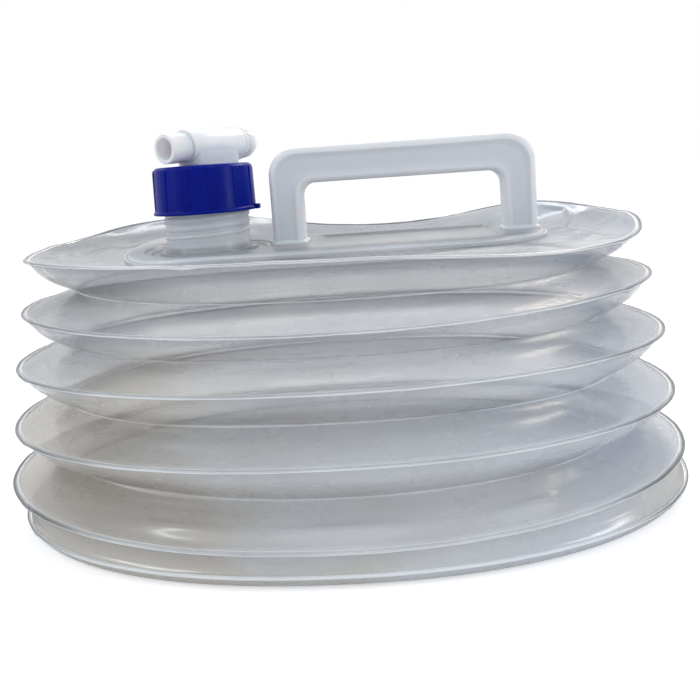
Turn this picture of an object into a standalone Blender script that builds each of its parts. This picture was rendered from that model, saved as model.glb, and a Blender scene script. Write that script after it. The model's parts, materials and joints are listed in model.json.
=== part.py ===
"""Collapsible water carrier: a stack of film folds with a screw neck, a tap in the cap and a handle.

Metres, +Z up. The origin is on the floor under the middle of the base oval, +X runs along the
long side and -Y is the side that the handle and the neck are seen from.
"""

import math

import bmesh
import bpy
from mathutils import Matrix, Vector

MM = 0.001

# Shared clearances
SEAT_GAP = 0.3 * MM
CUT_OVERRUN = 2.0 * MM
MERGE_DISTANCE = 0.001 * MM
SHARP_ANGLE = math.radians(32.0)
FULL_TURN = 2.0 * math.pi
QUARTER_TURN = FULL_TURN / 4

# The oval: every crest, crease and base edge is this superellipse at its own size
BASE_HALF_LENGTH = 176.3 * MM
DEPTH_SHARE = 0.6
OVAL_POWER = 2.17
OVAL_POINTS = 48

# Film and welds
FILM_THICKNESS = 0.6 * MM
WELD_RADIUS = 1.3 * MM
WELD_SIDES = 5
FILM_EDGE_MARGIN = 0.05 * MM
FILM_EDGE_OFFSET = (FILM_THICKNESS + SEAT_GAP) / 2 + FILM_EDGE_MARGIN

# Base
BASE_EDGE_HEIGHT = 6.0 * MM
BASE_CORNER = 5.0 * MM
BASE_PANEL_THICKNESS = 0.8 * MM
BASE_CORNER_STEPS = 3
BASE_WALL_HEIGHT = 9.6 * MM
BASE_WALL_DIP = 1.2 * MM

# Bellows, bottom to top: crest half lengths are shares of the base, fold heights shares of the stack
BELLOWS_HEIGHT = 115.8 * MM
CREST_LENGTH_SHARES = (0.990, 0.968, 0.947, 0.916, 0.894)
FOLD_HEIGHT_SHARES = (0.293, 0.262, 0.202, 0.243)
END_LIFT = 6.8 * MM
END_LIFT_SHARES = (1.0, 0.0, 0.0, 0.7, 0.0)
CREST_RIPPLE_SHARES = (0.0, 0.0, 0.0, 0.0, 1.0)
CREASE_DEPTH = 24.0 * MM
CREASE_HEIGHT_SHARE = 0.28
UNDERSIDE_BULGE = 2.2 * MM

# Top film: its crest sways on the near side and stands up in two humps on the far side,
# and it slopes down from there to a flat under the pad
TOP_NEAR_SWAY = 4.2 * MM
TOP_FAR_HUMP = 10.0 * MM
TOP_END_SLOPE = 26.0 * MM
TOP_SINK = 3.4 * MM
TOP_SLOPE_WIDTH_SHARE = 0.5
TOP_SLOPE_FALL_SHARE = 0.65
FILM_HOLE_MARGIN = 1.4 * MM

# Mouth moulding: pad, recesses and neck
PAD_RADIUS = 44.5 * MM
PAD_SIDE_MARGIN = 10.0 * MM
PAD_LEFT_MARGIN = 20.1 * MM
PAD_RIGHT_MARGIN = 16.0 * MM
PAD_FLANGE_WIDTH = 2.4 * MM
PAD_FLANGE_THICKNESS = 1.4 * MM
PAD_THICKNESS = 3.0 * MM
PAD_ARC_POINTS = 18
RECESS_DEPTH = 1.6 * MM
RECESS_DRAFT = 1.6 * MM
POCKET_SIDE_MARGIN = 12.1 * MM
POCKET_LEG_MARGIN = 3.0 * MM
NECK_RADIUS = 22.6 * MM
NECK_WALL = 3.0 * MM
NECK_HEIGHT = 36.1 * MM
NECK_SIDES = 48
NECK_RECESS_MARGIN = 3.4 * MM
NECK_RECESS_WIDTH = 8.0 * MM

# Handle
HANDLE_NUT_GAP = 6.7 * MM
HANDLE_END_MARGIN = 4.8 * MM
HANDLE_RISE = 50.3 * MM
HANDLE_BAR = 19.0 * MM
HANDLE_LEG = 17.0 * MM
HANDLE_DEPTH = 16.0 * MM
HANDLE_OUTER_RADIUS = 14.5 * MM
HANDLE_INNER_RADIUS = 7.0 * MM
HANDLE_EDGE_RADIUS = 3.5 * MM
HANDLE_ARC_STEPS = 5
HANDLE_EDGE_STEPS = 3
FOOT_HEIGHT = 3.7 * MM
FOOT_STEP = 0.9 * MM
TENON_LENGTH = 11.0 * MM
TENON_DEPTH = 9.0 * MM
TENON_HEIGHT = 1.5 * MM

# Cap nut
NUT_WALL = 2.8 * MM
NUT_FLARE = 0.5 * MM
NUT_HEIGHT = 24.8 * MM
NUT_WEB = 2.4 * MM
NUT_BEVEL = 1.5 * MM
NUT_THREAD_GAP = 0.6 * MM
NUT_RIBS = 12
NUT_RIB_TURN = math.radians(18.3)
NUT_RIB_SHARES = (0.0, 0.04, 0.25, 0.29, 0.64)
NUT_RIB_RAISED = (0, 1, 1, 0, 0)
NUT_RIB_HEIGHT = 0.45 * MM
NUT_FLANGE_WIDTH = 1.5 * MM
NUT_FLANGE_HEIGHT = 2.0 * MM
NUT_TAB_REACH = 1.6 * MM
NUT_TAB_WIDTH = 6.0 * MM
NUT_TAB_HEIGHT = 2.6 * MM
STEM_HOLE_GAP = 2.5 * MM

# Clamping disc, stem and gasket
GASKET_THICKNESS = 2.0 * MM
GASKET_EDGE = 0.4 * MM
DISC_THICKNESS = 3.0 * MM
STEM_RADIUS = 8.0 * MM
STEM_PASSAGE_RADIUS = 3.5 * MM

# Tap barrel, spout plug and end cap, along the barrel's own X, its mouth end turned near and tilted down
TAP_TURN = math.radians(57.0)
TAP_TILT = math.radians(2.6)
BARREL_RADIUS = 9.4 * MM
BARREL_LEFT = 12.0 * MM
BARREL_RIGHT = 26.7 * MM
BARREL_WALL = 2.0 * MM
BARREL_SIDES = 24
SPOUT_REACH = 13.0 * MM
SPOUT_SHOULDER = 0.75 * MM
SPOUT_WALL = 2.35 * MM
PLUG_WALL = 2.3 * MM
PLUG_BORE_PAST_PORT = 2.0 * MM
PORT_RADIUS = 3.2 * MM
RING_GROOVE_X = 8.5 * MM
RING_GROOVE_WIDTH = 1.4 * MM
RING_GROOVE_DEPTH = 1.1 * MM
STUB_RADIUS = 4.5 * MM
STUB_LENGTH = 5.7 * MM
END_STEP = 0.9 * MM
END_LENGTH = 11.7 * MM
END_GROOVE_DEPTH = 0.6 * MM
END_GROOVE_SHARES = (0.11, 0.27)
END_GROOVE_WIDTH = 0.9 * MM
END_DOME_SHARE = 0.6
END_DOME_STEPS = 3
RING_SECTION_SIDES = 6


def crest_height(level):
    """Height of crest number level, 0 at the bottom, in the middle of its long side."""
    risen = sum(FOLD_HEIGHT_SHARES[:level])
    return BASE_EDGE_HEIGHT + BASE_WALL_HEIGHT + BELLOWS_HEIGHT * risen


# Heights that follow from the sizes above
TOP_CREST = crest_height(len(FOLD_HEIGHT_SHARES))
TOP_FILM_UPPER = TOP_CREST - TOP_SINK
PAD_BASE = TOP_FILM_UPPER + SEAT_GAP
PAD_TOP = PAD_BASE + PAD_THICKNESS
NECK_TOP = PAD_TOP + NECK_HEIGHT
GASKET_BASE = NECK_TOP + SEAT_GAP
DISC_BASE = GASKET_BASE + GASKET_THICKNESS + SEAT_GAP
DISC_TOP = DISC_BASE + DISC_THICKNESS
WEB_BASE = DISC_TOP + SEAT_GAP
NUT_TOP = WEB_BASE + NUT_WEB
NUT_BASE = NUT_TOP - NUT_HEIGHT
BARREL_LIFT = SEAT_GAP + BARREL_LEFT * math.sin(TAP_TILT)
BARREL_AXIS = NUT_TOP + BARREL_LIFT + BARREL_RADIUS

# Radii that follow, from the neck and the barrel outwards
NUT_BORE = NECK_RADIUS + NUT_THREAD_GAP
NUT_RADIUS = NUT_BORE + NUT_WALL
NUT_FLANGE_RADIUS = NUT_RADIUS + NUT_FLANGE_WIDTH
STEM_HOLE_RADIUS = STEM_RADIUS + STEM_HOLE_GAP
BARREL_BORE = BARREL_RADIUS - BARREL_WALL
PLUG_RADIUS = BARREL_BORE - SEAT_GAP
PLUG_BORE = PLUG_RADIUS - PLUG_WALL
SPOUT_RADIUS = PLUG_RADIUS + SPOUT_SHOULDER
SPOUT_BORE = SPOUT_RADIUS - SPOUT_WALL
END_RADIUS = BARREL_RADIUS - END_STEP

# Places that follow: the pad lies on the flat of the top film, the neck and the handle stand on the pad
TUCK = WELD_RADIUS + SEAT_GAP
TOP_HALF_LENGTH = BASE_HALF_LENGTH * CREST_LENGTH_SHARES[-1]
TOP_FLAT_HALF_DEPTH = PAD_RADIUS + PAD_SIDE_MARGIN
TOP_FLAT_HALF_LENGTH = TOP_HALF_LENGTH - TUCK - TOP_END_SLOPE
NECK_X = PAD_LEFT_MARGIN + PAD_RADIUS - TOP_FLAT_HALF_LENGTH
PAD_RIGHT_X = TOP_FLAT_HALF_LENGTH - PAD_RIGHT_MARGIN - PAD_RADIUS
POCKET_HALF_DEPTH = PAD_RADIUS - PAD_FLANGE_WIDTH - POCKET_SIDE_MARGIN
HANDLE_LEFT_X = NECK_X + NUT_FLANGE_RADIUS + NUT_TAB_REACH + HANDLE_NUT_GAP
HANDLE_RIGHT_X = PAD_RIGHT_X + PAD_RADIUS - HANDLE_END_MARGIN


def clear_scene():
    for item in list(bpy.data.objects):
        bpy.data.objects.remove(item, do_unlink=True)


def material(name, color, roughness, alpha=1.0):
    made = bpy.data.materials.new(name)
    made.use_nodes = True
    shader = made.node_tree.nodes["Principled BSDF"]
    shader.inputs["Base Color"].default_value = (*color, 1.0)
    shader.inputs["Roughness"].default_value = roughness
    shader.inputs["Metallic"].default_value = 0.0
    shader.inputs["Alpha"].default_value = alpha
    made.diffuse_color = (*color, alpha)
    return made


def add(name, bm, finish, place=None):
    """Turns a finished bmesh into the named object, its faces pointing out."""
    bmesh.ops.remove_doubles(bm, verts=bm.verts, dist=MERGE_DISTANCE)
    bmesh.ops.recalc_face_normals(bm, faces=bm.faces)
    mesh = bpy.data.meshes.new(name)
    bm.to_mesh(mesh)
    bm.free()
    mesh.shade_smooth()
    mesh.set_sharp_from_angle(angle=SHARP_ANGLE)
    made = bpy.data.objects.new(name, mesh)
    bpy.context.scene.collection.objects.link(made)
    if finish:
        mesh.materials.append(finish)
    if place:
        made.matrix_world = place
    return made


def carve(target, tool, operation="DIFFERENCE"):
    """Adds an exact Boolean to target and hides the tool that it uses."""
    cut = target.modifiers.new(tool.name, "BOOLEAN")
    cut.operation = operation
    cut.solver = "EXACT"
    cut.object = tool
    tool.display_type = "WIRE"
    tool.hide_render = True


def loft(rings, capped=False):
    """A closed skin through rings of points, joined last to first, or capped at both ends."""
    bm = bmesh.new()
    loops = [[bm.verts.new(point) for point in ring] for ring in rings]
    pairs = list(zip(loops, loops[1:]))
    if not capped:
        pairs.append((loops[-1], loops[0]))
    for lower, upper in pairs:
        count = len(lower)
        for i in range(count):
            j = (i + 1) % count
            bm.faces.new((lower[i], lower[j], upper[j], upper[i]))
    if capped:
        bm.faces.new(loops[0])
        bm.faces.new(loops[-1])
    return bm


def circle(radius, height, sides, center=(0.0, 0.0)):
    steps = [FULL_TURN * i / sides for i in range(sides)]
    return [
        Vector((center[0] + radius * math.cos(a), center[1] + radius * math.sin(a), height))
        for a in steps
    ]


def turned(profile, sides, capped=False, center=(0.0, 0.0)):
    """Revolves (radius, height) pairs about a vertical line through center."""
    return loft([circle(r, h, sides, center) for r, h in profile], capped)


def block(low, high):
    bm = bmesh.new()
    bmesh.ops.create_cube(bm, size=1.0)
    span = [b - a for a, b in zip(low, high)]
    middle = [(a + b) / 2 for a, b in zip(low, high)]
    bmesh.ops.scale(bm, vec=span, verts=bm.verts)
    bmesh.ops.translate(bm, vec=middle, verts=bm.verts)
    return bm


def ripple(angle):
    """How far the top crest stands from level: a sway on the near side, two humps on the far side."""
    wave = math.sin(2 * angle)
    return TOP_FAR_HUMP * wave**2 if math.sin(angle) > 0 else TOP_NEAR_SWAY * wave


def oval(edge, height):
    """Points of the superellipse of an edge, raised at its ends and rippled as the edge says."""
    ring = []
    power = 2 / OVAL_POWER
    for i in range(OVAL_POINTS):
        angle = FULL_TURN * i / OVAL_POINTS
        c, s = math.cos(angle), math.sin(angle)
        along = math.copysign(abs(c) ** power, c)
        across = math.copysign(abs(s) ** power, s)
        rise = edge.lift * along**2 + edge.rippled * ripple(angle)
        ring.append(Vector((edge.half_length * along, edge.half_depth * across, height + rise)))
    return ring


class Edge:
    """An oval edge line of the film: half length, half depth, height, end lift and share of the ripple."""

    def __init__(self, half_length, half_depth, height, lift=0.0, rippled=0.0):
        self.half_length = half_length
        self.half_depth = half_depth
        self.height = height
        self.lift = lift
        self.rippled = rippled

    def moved(self, inset=0.0, rise=0.0):
        length, depth = self.half_length - inset, self.half_depth - inset
        return Edge(length, depth, self.height + rise, self.lift, self.rippled)

    def toward(self, other, share):
        def mix(a, b):
            return a + (b - a) * share

        return Edge(
            mix(self.half_length, other.half_length),
            mix(self.half_depth, other.half_depth),
            mix(self.height, other.height),
            mix(self.lift, other.lift),
            mix(self.rippled, other.rippled),
        )

    def points(self, rise=0.0):
        return oval(self, self.height + rise)


def crest(level):
    half_length = BASE_HALF_LENGTH * CREST_LENGTH_SHARES[level]
    lift = END_LIFT * END_LIFT_SHARES[level]
    rippled = CREST_RIPPLE_SHARES[level]
    return Edge(half_length, half_length * DEPTH_SHARE, crest_height(level), lift, rippled)


def crease(fold):
    """The inner edge of a fold, between the crest below it and the crest above it."""
    between = crest(fold).toward(crest(fold + 1), CREASE_HEIGHT_SHARE)
    return between.moved(inset=CREASE_DEPTH)


def film_band(edges):
    """A strip of film through oval edges, its thickness set off up and down."""
    upper = [edge.points(FILM_THICKNESS / 2) for edge in edges]
    lower = [edge.points(-FILM_THICKNESS / 2) for edge in reversed(edges)]
    return loft(upper + lower)


def weld_bead(edge):
    """A round bead along an oval edge."""
    line = edge.points()
    count = len(line)
    rings = []
    for k in range(WELD_SIDES):
        turn = FULL_TURN * k / WELD_SIDES
        ring = []
        for i, point in enumerate(line):
            run = line[(i + 1) % count] - line[i - 1]
            out = Vector((run.y, -run.x, 0.0)).normalized()
            offset = out * math.cos(turn) + Vector((0.0, 0.0, math.sin(turn)))
            ring.append(point + offset * WELD_RADIUS)
        rings.append(ring)
    return loft(rings)


def make_base(film, weld):
    edge = Edge(BASE_HALF_LENGTH, BASE_HALF_LENGTH * DEPTH_SHARE, BASE_EDGE_HEIGHT)
    add("base_weld", weld_bead(edge), weld)

    start = edge.moved(inset=TUCK, rise=-FILM_EDGE_OFFSET)
    drop = start.height - FILM_THICKNESS / 2
    outer, inner = [], []
    for i in range(BASE_CORNER_STEPS + 1):
        turn = QUARTER_TURN * i / BASE_CORNER_STEPS
        inset = BASE_CORNER * (1 - math.cos(turn))
        rise = -FILM_THICKNESS / 2 - drop * math.sin(turn)
        wall = BASE_PANEL_THICKNESS * math.cos(turn)
        floor = BASE_PANEL_THICKNESS * math.sin(turn)
        outer.append(start.moved(inset=inset).points(rise))
        inner.append(start.moved(inset=inset + wall).points(rise + floor))
    add("base_panel", loft(outer[::-1] + inner, capped=True), film)

    low = edge.moved(inset=TUCK, rise=FILM_EDGE_OFFSET)
    high = crest(0).moved(inset=TUCK, rise=-FILM_EDGE_OFFSET)
    waist = low.toward(high, 0.5).moved(inset=BASE_WALL_DIP)
    bands = [low, waist, high]
    outside = [e.points() for e in bands]
    inside = [e.moved(inset=FILM_THICKNESS).points() for e in reversed(bands)]
    add("base_wall", loft(outside + inside), film)


def make_bellows(film, weld):
    for level in range(len(CREST_LENGTH_SHARES)):
        add(f"crest_weld_{level + 1}", weld_bead(crest(level)), weld)
    for fold in range(len(FOLD_HEIGHT_SHARES)):
        line = crease(fold)
        outer_low = crest(fold).moved(inset=TUCK, rise=FILM_EDGE_OFFSET)
        inner_low = line.moved(rise=-FILM_EDGE_OFFSET)
        add(f"fold_{fold + 1}_lower_film", film_band([outer_low, inner_low]), film)
        outer_high = crest(fold + 1).moved(inset=TUCK, rise=-FILM_EDGE_OFFSET)
        inner_high = line.moved(rise=FILM_EDGE_OFFSET)
        belly = inner_high.toward(outer_high, 0.5).moved(inset=-UNDERSIDE_BULGE)
        add(f"fold_{fold + 1}_upper_film", film_band([inner_high, belly, outer_high]), film)


def make_top_film(film):
    edge = crest(len(FOLD_HEIGHT_SHARES))
    start = edge.moved(inset=TUCK, rise=FILM_EDGE_OFFSET)
    middle = TOP_FILM_UPPER - FILM_THICKNESS / 2
    fall = start.height - middle
    flat = Edge(TOP_FLAT_HALF_LENGTH, TOP_FLAT_HALF_DEPTH, middle)
    slope = start.toward(flat, TOP_SLOPE_WIDTH_SHARE)
    slope = slope.moved(rise=-fall * (TOP_SLOPE_FALL_SHARE - TOP_SLOPE_WIDTH_SHARE))
    hole = NECK_RADIUS - NECK_WALL + FILM_HOLE_MARGIN
    upper = [e.points(FILM_THICKNESS / 2) for e in (start, slope, flat)]
    lower = [e.points(-FILM_THICKNESS / 2) for e in (flat, slope, start)]
    rims = [
        circle(hole, middle + side * FILM_THICKNESS / 2, OVAL_POINTS, (NECK_X, 0.0))
        for side in (1, -1)
    ]
    add("top_film", loft(upper + rims + lower), film)


def stadium(left, right, radius, height):
    ring = []
    for center, start in ((right, -QUARTER_TURN), (left, QUARTER_TURN)):
        for i in range(PAD_ARC_POINTS):
            angle = start + FULL_TURN / 2 * i / (PAD_ARC_POINTS - 1)
            ring.append(Vector((center + radius * math.cos(angle), radius * math.sin(angle), height)))
    return ring


def leg_centers():
    half = HANDLE_LEG / 2
    return (HANDLE_LEFT_X + half, HANDLE_RIGHT_X - half)


def make_mouth(moulded):
    step = PAD_BASE + PAD_FLANGE_THICKNESS
    plateau = PAD_RADIUS - PAD_FLANGE_WIDTH
    outline = [
        stadium(NECK_X, PAD_RIGHT_X, PAD_RADIUS, PAD_BASE),
        stadium(NECK_X, PAD_RIGHT_X, PAD_RADIUS, step),
        stadium(NECK_X, PAD_RIGHT_X, plateau, step),
        stadium(NECK_X, PAD_RIGHT_X, plateau, PAD_TOP),
    ]
    moulding = add("mouth_moulding", loft(outline, capped=True), moulded)

    center = (NECK_X, 0.0)
    neck = turned([(NECK_RADIUS, PAD_BASE + PAD_THICKNESS / 2), (NECK_RADIUS, NECK_TOP)],
                  NECK_SIDES, capped=True, center=center)
    carve(moulding, add("neck_tool", neck, None), "UNION")
    bore = turned([(NECK_RADIUS - NECK_WALL, PAD_BASE - CUT_OVERRUN),
                   (NECK_RADIUS - NECK_WALL, NECK_TOP + CUT_OVERRUN)],
                  NECK_SIDES, capped=True, center=center)
    carve(moulding, add("bore_tool", bore, None))

    floor = PAD_TOP - RECESS_DEPTH
    near = NECK_RADIUS + NECK_RECESS_MARGIN
    far = near + NECK_RECESS_WIDTH
    ring = turned([(near, PAD_TOP + CUT_OVERRUN), (near, floor), (far - RECESS_DRAFT, floor),
                   (far, PAD_TOP), (far, PAD_TOP + CUT_OVERRUN)], NECK_SIDES, center=center)
    carve(moulding, add("neck_recess_tool", ring, None))

    left = HANDLE_LEFT_X + HANDLE_LEG + POCKET_LEG_MARGIN
    right = HANDLE_RIGHT_X - HANDLE_LEG - POCKET_LEG_MARGIN
    rings = []
    for inset, height in ((RECESS_DRAFT, floor), (0.0, PAD_TOP), (0.0, PAD_TOP + CUT_OVERRUN)):
        half = POCKET_HALF_DEPTH - inset
        rings.append([Vector((x, y, height)) for x, y in (
            (left + inset, -half), (right - inset, -half), (right - inset, half), (left + inset, half))])
    carve(moulding, add("pocket_tool", loft(rings, capped=True), None))

    for number, x in enumerate(leg_centers()):
        reach = (TENON_LENGTH / 2 + SEAT_GAP, TENON_DEPTH / 2 + SEAT_GAP)
        socket = block((x - reach[0], -reach[1], PAD_TOP - TENON_HEIGHT - SEAT_GAP),
                       (x + reach[0], reach[1], PAD_TOP + CUT_OVERRUN))
        carve(moulding, add(f"socket_tool_{number + 1}", socket, None))


def arc(center, radius, start, end, steps):
    return [
        Vector((center[0] + radius * math.cos(a), 0.0, center[1] + radius * math.sin(a)))
        for a in (start + (end - start) * i / steps for i in range(steps + 1))
    ]


def handle_outline(inset, y):
    """The handle seen from the side, drawn in by inset where its edges are rounded."""
    foot = PAD_TOP + SEAT_GAP
    top = PAD_TOP + HANDLE_RISE - inset
    under = PAD_TOP + HANDLE_RISE - HANDLE_BAR + inset
    left, right = HANDLE_LEFT_X + inset, HANDLE_RIGHT_X - inset
    gap_left = HANDLE_LEFT_X + HANDLE_LEG - inset
    gap_right = HANDLE_RIGHT_X - HANDLE_LEG + inset
    outer, inner = HANDLE_OUTER_RADIUS - inset, HANDLE_INNER_RADIUS + inset
    half_turn = 2 * QUARTER_TURN
    line = [Vector((left, 0.0, foot))]
    line += arc((left + outer, top - outer), outer, half_turn, QUARTER_TURN, HANDLE_ARC_STEPS)
    line += arc((right - outer, top - outer), outer, QUARTER_TURN, 0.0, HANDLE_ARC_STEPS)
    line += [Vector((right, 0.0, foot)), Vector((gap_right, 0.0, foot))]
    line += arc((gap_right - inner, under - inner), inner, 0.0, QUARTER_TURN, HANDLE_ARC_STEPS)
    line += arc((gap_left + inner, under - inner), inner, QUARTER_TURN, half_turn, HANDLE_ARC_STEPS)
    line += [Vector((gap_left, 0.0, foot))]
    return [point + Vector((0.0, y, 0.0)) for point in line]


def make_handle(moulded):
    foot = PAD_TOP + SEAT_GAP
    half = HANDLE_DEPTH / 2
    near = []
    for i in range(HANDLE_EDGE_STEPS + 1):
        turn = QUARTER_TURN * i / HANDLE_EDGE_STEPS
        inset = HANDLE_EDGE_RADIUS * (1 - math.sin(turn))
        near.append((inset, -half + HANDLE_EDGE_RADIUS * (1 - math.cos(turn))))
    far = [(inset, -y) for inset, y in reversed(near)]
    rings = [handle_outline(inset, y) for inset, y in near + far]
    handle = add("handle", loft(rings, capped=True), moulded)

    for number, x in enumerate(leg_centers()):
        reach = HANDLE_LEG / 2 + FOOT_STEP
        wide = half + FOOT_STEP
        step = block((x - reach, -wide, foot), (x + reach, wide, foot + FOOT_HEIGHT))
        carve(handle, add(f"foot_tool_{number + 1}", step, None), "UNION")
        tenon = block((x - TENON_LENGTH / 2, -TENON_DEPTH / 2, PAD_TOP - TENON_HEIGHT),
                      (x + TENON_LENGTH / 2, TENON_DEPTH / 2, foot + FOOT_HEIGHT / 2))
        carve(handle, add(f"tenon_tool_{number + 1}", tenon, None), "UNION")


def ribbed(radius, height, raise_by):
    """A circle about the neck axis with the nut's grip ribs standing out of it."""
    ring = []
    for rib in range(NUT_RIBS):
        for share, raised in zip(NUT_RIB_SHARES, NUT_RIB_RAISED):
            angle = NUT_RIB_TURN + FULL_TURN * (rib + share) / NUT_RIBS
            reach = radius + raise_by * raised
            ring.append(Vector((NECK_X + reach * math.cos(angle), reach * math.sin(angle), height)))
    return ring


def make_nut(blue):
    shoulder = NUT_BASE + NUT_FLANGE_HEIGHT
    rings = [
        ribbed(NUT_FLANGE_RADIUS, NUT_BASE, 0.0),
        ribbed(NUT_FLANGE_RADIUS, shoulder, 0.0),
        ribbed(NUT_RADIUS + NUT_FLARE, shoulder, NUT_RIB_HEIGHT),
        ribbed(NUT_RADIUS, NUT_TOP - NUT_BEVEL, NUT_RIB_HEIGHT),
        ribbed(NUT_RADIUS - NUT_BEVEL, NUT_TOP, 0.0),
        ribbed(STEM_HOLE_RADIUS, NUT_TOP, 0.0),
        ribbed(STEM_HOLE_RADIUS, WEB_BASE, 0.0),
        ribbed(NUT_BORE, WEB_BASE, 0.0),
        ribbed(NUT_BORE, NUT_BASE, 0.0),
    ]
    nut = add("cap_nut", loft(rings), blue)
    inner = NECK_X + (NUT_BORE + NUT_FLANGE_RADIUS) / 2
    outer = NECK_X + NUT_FLANGE_RADIUS + NUT_TAB_REACH
    tab = block((inner, -NUT_TAB_WIDTH / 2, NUT_BASE),
                (outer, NUT_TAB_WIDTH / 2, NUT_BASE + NUT_TAB_HEIGHT))
    carve(nut, add("tab_tool", tab, None), "UNION")


def along_barrel():
    """Places a piece turned about Z onto the barrel's axis, its Z running towards the end cap."""
    lie_down = Matrix.Rotation(QUARTER_TURN - TAP_TILT, 4, "Y")
    swing = Matrix.Rotation(TAP_TURN, 4, "Z")
    return Matrix.Translation((NECK_X, 0.0, BARREL_AXIS)) @ swing @ lie_down


def make_tap_body(white):
    center = (NECK_X, 0.0)
    disc = turned([(NECK_RADIUS, DISC_BASE), (NECK_RADIUS, DISC_TOP)], NECK_SIDES, True, center)
    body = add("tap_body", disc, white)
    stem = turned([(STEM_RADIUS, DISC_BASE + DISC_THICKNESS / 2), (STEM_RADIUS, BARREL_AXIS)],
                  BARREL_SIDES, True, center)
    carve(body, add("stem_tool", stem, None), "UNION")
    barrel = turned([(BARREL_RADIUS, -BARREL_LEFT), (BARREL_RADIUS, BARREL_RIGHT)], BARREL_SIDES, True)
    carve(body, add("barrel_tool", barrel, None, along_barrel()), "UNION")
    bore = turned([(BARREL_BORE, -BARREL_LEFT - CUT_OVERRUN), (BARREL_BORE, BARREL_RIGHT + CUT_OVERRUN)],
                  BARREL_SIDES, True)
    carve(body, add("barrel_bore_tool", bore, None, along_barrel()))
    passage = turned([(STEM_PASSAGE_RADIUS, DISC_BASE - CUT_OVERRUN), (STEM_PASSAGE_RADIUS, BARREL_AXIS)],
                     BARREL_SIDES, True, center)
    carve(body, add("passage_tool", passage, None))


def make_gasket(rubber):
    outer = NECK_RADIUS - GASKET_EDGE
    inner = NECK_RADIUS - NECK_WALL + GASKET_EDGE
    top = GASKET_BASE + GASKET_THICKNESS
    ring = turned([(outer, GASKET_BASE), (outer, top), (inner, top), (inner, GASKET_BASE)],
                  NECK_SIDES, center=(NECK_X, 0.0))
    add("gasket", ring, rubber)


def make_spout(white):
    """The turning valve: outlet tube, plug with two ring grooves and the stub of the end cap."""
    mouth = -BARREL_LEFT - SPOUT_REACH
    shoulder = -BARREL_LEFT - SEAT_GAP
    groove = PLUG_RADIUS - RING_GROOVE_DEPTH
    stub_start = BARREL_RIGHT
    blind = PORT_RADIUS + PLUG_BORE_PAST_PORT
    profile = [
        (PLUG_BORE, blind), (PLUG_BORE, -BARREL_LEFT), (SPOUT_BORE, -BARREL_LEFT), (SPOUT_BORE, mouth),
        (SPOUT_RADIUS, mouth), (SPOUT_RADIUS, shoulder), (PLUG_RADIUS, shoulder),
    ]
    for middle in (-RING_GROOVE_X, RING_GROOVE_X):
        low, high = middle - RING_GROOVE_WIDTH / 2, middle + RING_GROOVE_WIDTH / 2
        profile += [(PLUG_RADIUS, low), (groove, low), (groove, high), (PLUG_RADIUS, high)]
    profile += [
        (PLUG_RADIUS, stub_start), (STUB_RADIUS, stub_start), (STUB_RADIUS, stub_start + STUB_LENGTH),
    ]
    spout = add("spout", turned(profile, BARREL_SIDES, capped=True), white, along_barrel())
    port = turned([(PORT_RADIUS, 0.0), (PORT_RADIUS, PLUG_RADIUS + CUT_OVERRUN)], BARREL_SIDES // 2, True)
    sideways = Matrix.Translation((NECK_X, 0.0, BARREL_AXIS)) @ Matrix.Rotation(TAP_TURN, 4, "Z")
    carve(spout, add("port_tool", port, None, sideways @ Matrix.Rotation(QUARTER_TURN, 4, "X")))


def make_end_cap(white):
    start = BARREL_RIGHT + SEAT_GAP
    dome = END_LENGTH * END_DOME_SHARE
    socket = STUB_RADIUS + SEAT_GAP
    blind = BARREL_RIGHT + STUB_LENGTH + SEAT_GAP
    profile = [(socket, blind), (socket, start), (END_RADIUS, start)]
    for share in END_GROOVE_SHARES:
        low = start + END_LENGTH * share
        high = low + END_GROOVE_WIDTH
        floor = END_RADIUS - END_GROOVE_DEPTH
        profile += [(END_RADIUS, low), (floor, low), (floor, high), (END_RADIUS, high)]
    shoulder = start + END_LENGTH - dome
    for i in range(END_DOME_STEPS + 1):
        angle = QUARTER_TURN * i / (END_DOME_STEPS + 1)
        profile.append((END_RADIUS * math.cos(angle), shoulder + dome * math.sin(angle)))
    add("spout_end_cap", turned(profile, BARREL_SIDES, capped=True), white, along_barrel())


def make_o_rings(rubber):
    groove = PLUG_RADIUS - RING_GROOVE_DEPTH
    low, high = groove + SEAT_GAP, BARREL_BORE - SEAT_GAP
    section = (high - low) / 2
    middle = (high + low) / 2
    for number, place in enumerate((-RING_GROOVE_X, RING_GROOVE_X)):
        profile = []
        for k in range(RING_SECTION_SIDES):
            angle = FULL_TURN * k / RING_SECTION_SIDES
            profile.append((middle + section * math.cos(angle), place + section * math.sin(angle)))
        ring = turned(profile, BARREL_SIDES)
        add(f"o_ring_{number + 1}", ring, rubber, along_barrel())


def main():
    clear_scene()
    film = material("clear_film", (0.62, 0.66, 0.70), 0.25, 0.6)
    weld = material("film_weld", (0.74, 0.77, 0.80), 0.3, 0.8)
    moulded = material("milky_plastic", (0.60, 0.64, 0.68), 0.4)
    blue = material("blue_plastic", (0.005, 0.015, 0.30), 0.35)
    white = material("white_plastic", (0.75, 0.77, 0.80), 0.35)
    rubber = material("seal_rubber", (0.08, 0.08, 0.08), 0.8)
    make_base(film, weld)
    make_bellows(film, weld)
    make_top_film(film)
    make_mouth(moulded)
    make_handle(moulded)
    make_nut(blue)
    make_tap_body(white)
    make_gasket(rubber)
    make_spout(white)
    make_end_cap(white)
    make_o_rings(rubber)


main()
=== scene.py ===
"""Looks of the collapsible water carrier: clear film folds, welded lips, milky mouldings and a blue cap.

Metres, +Z up, in the frame of the construction: +X along the long side, -Y towards the viewer.
"""
import json
import math
from dataclasses import dataclass

import bmesh
import bpy
import numpy as np
from mathutils import Matrix, Vector


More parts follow.
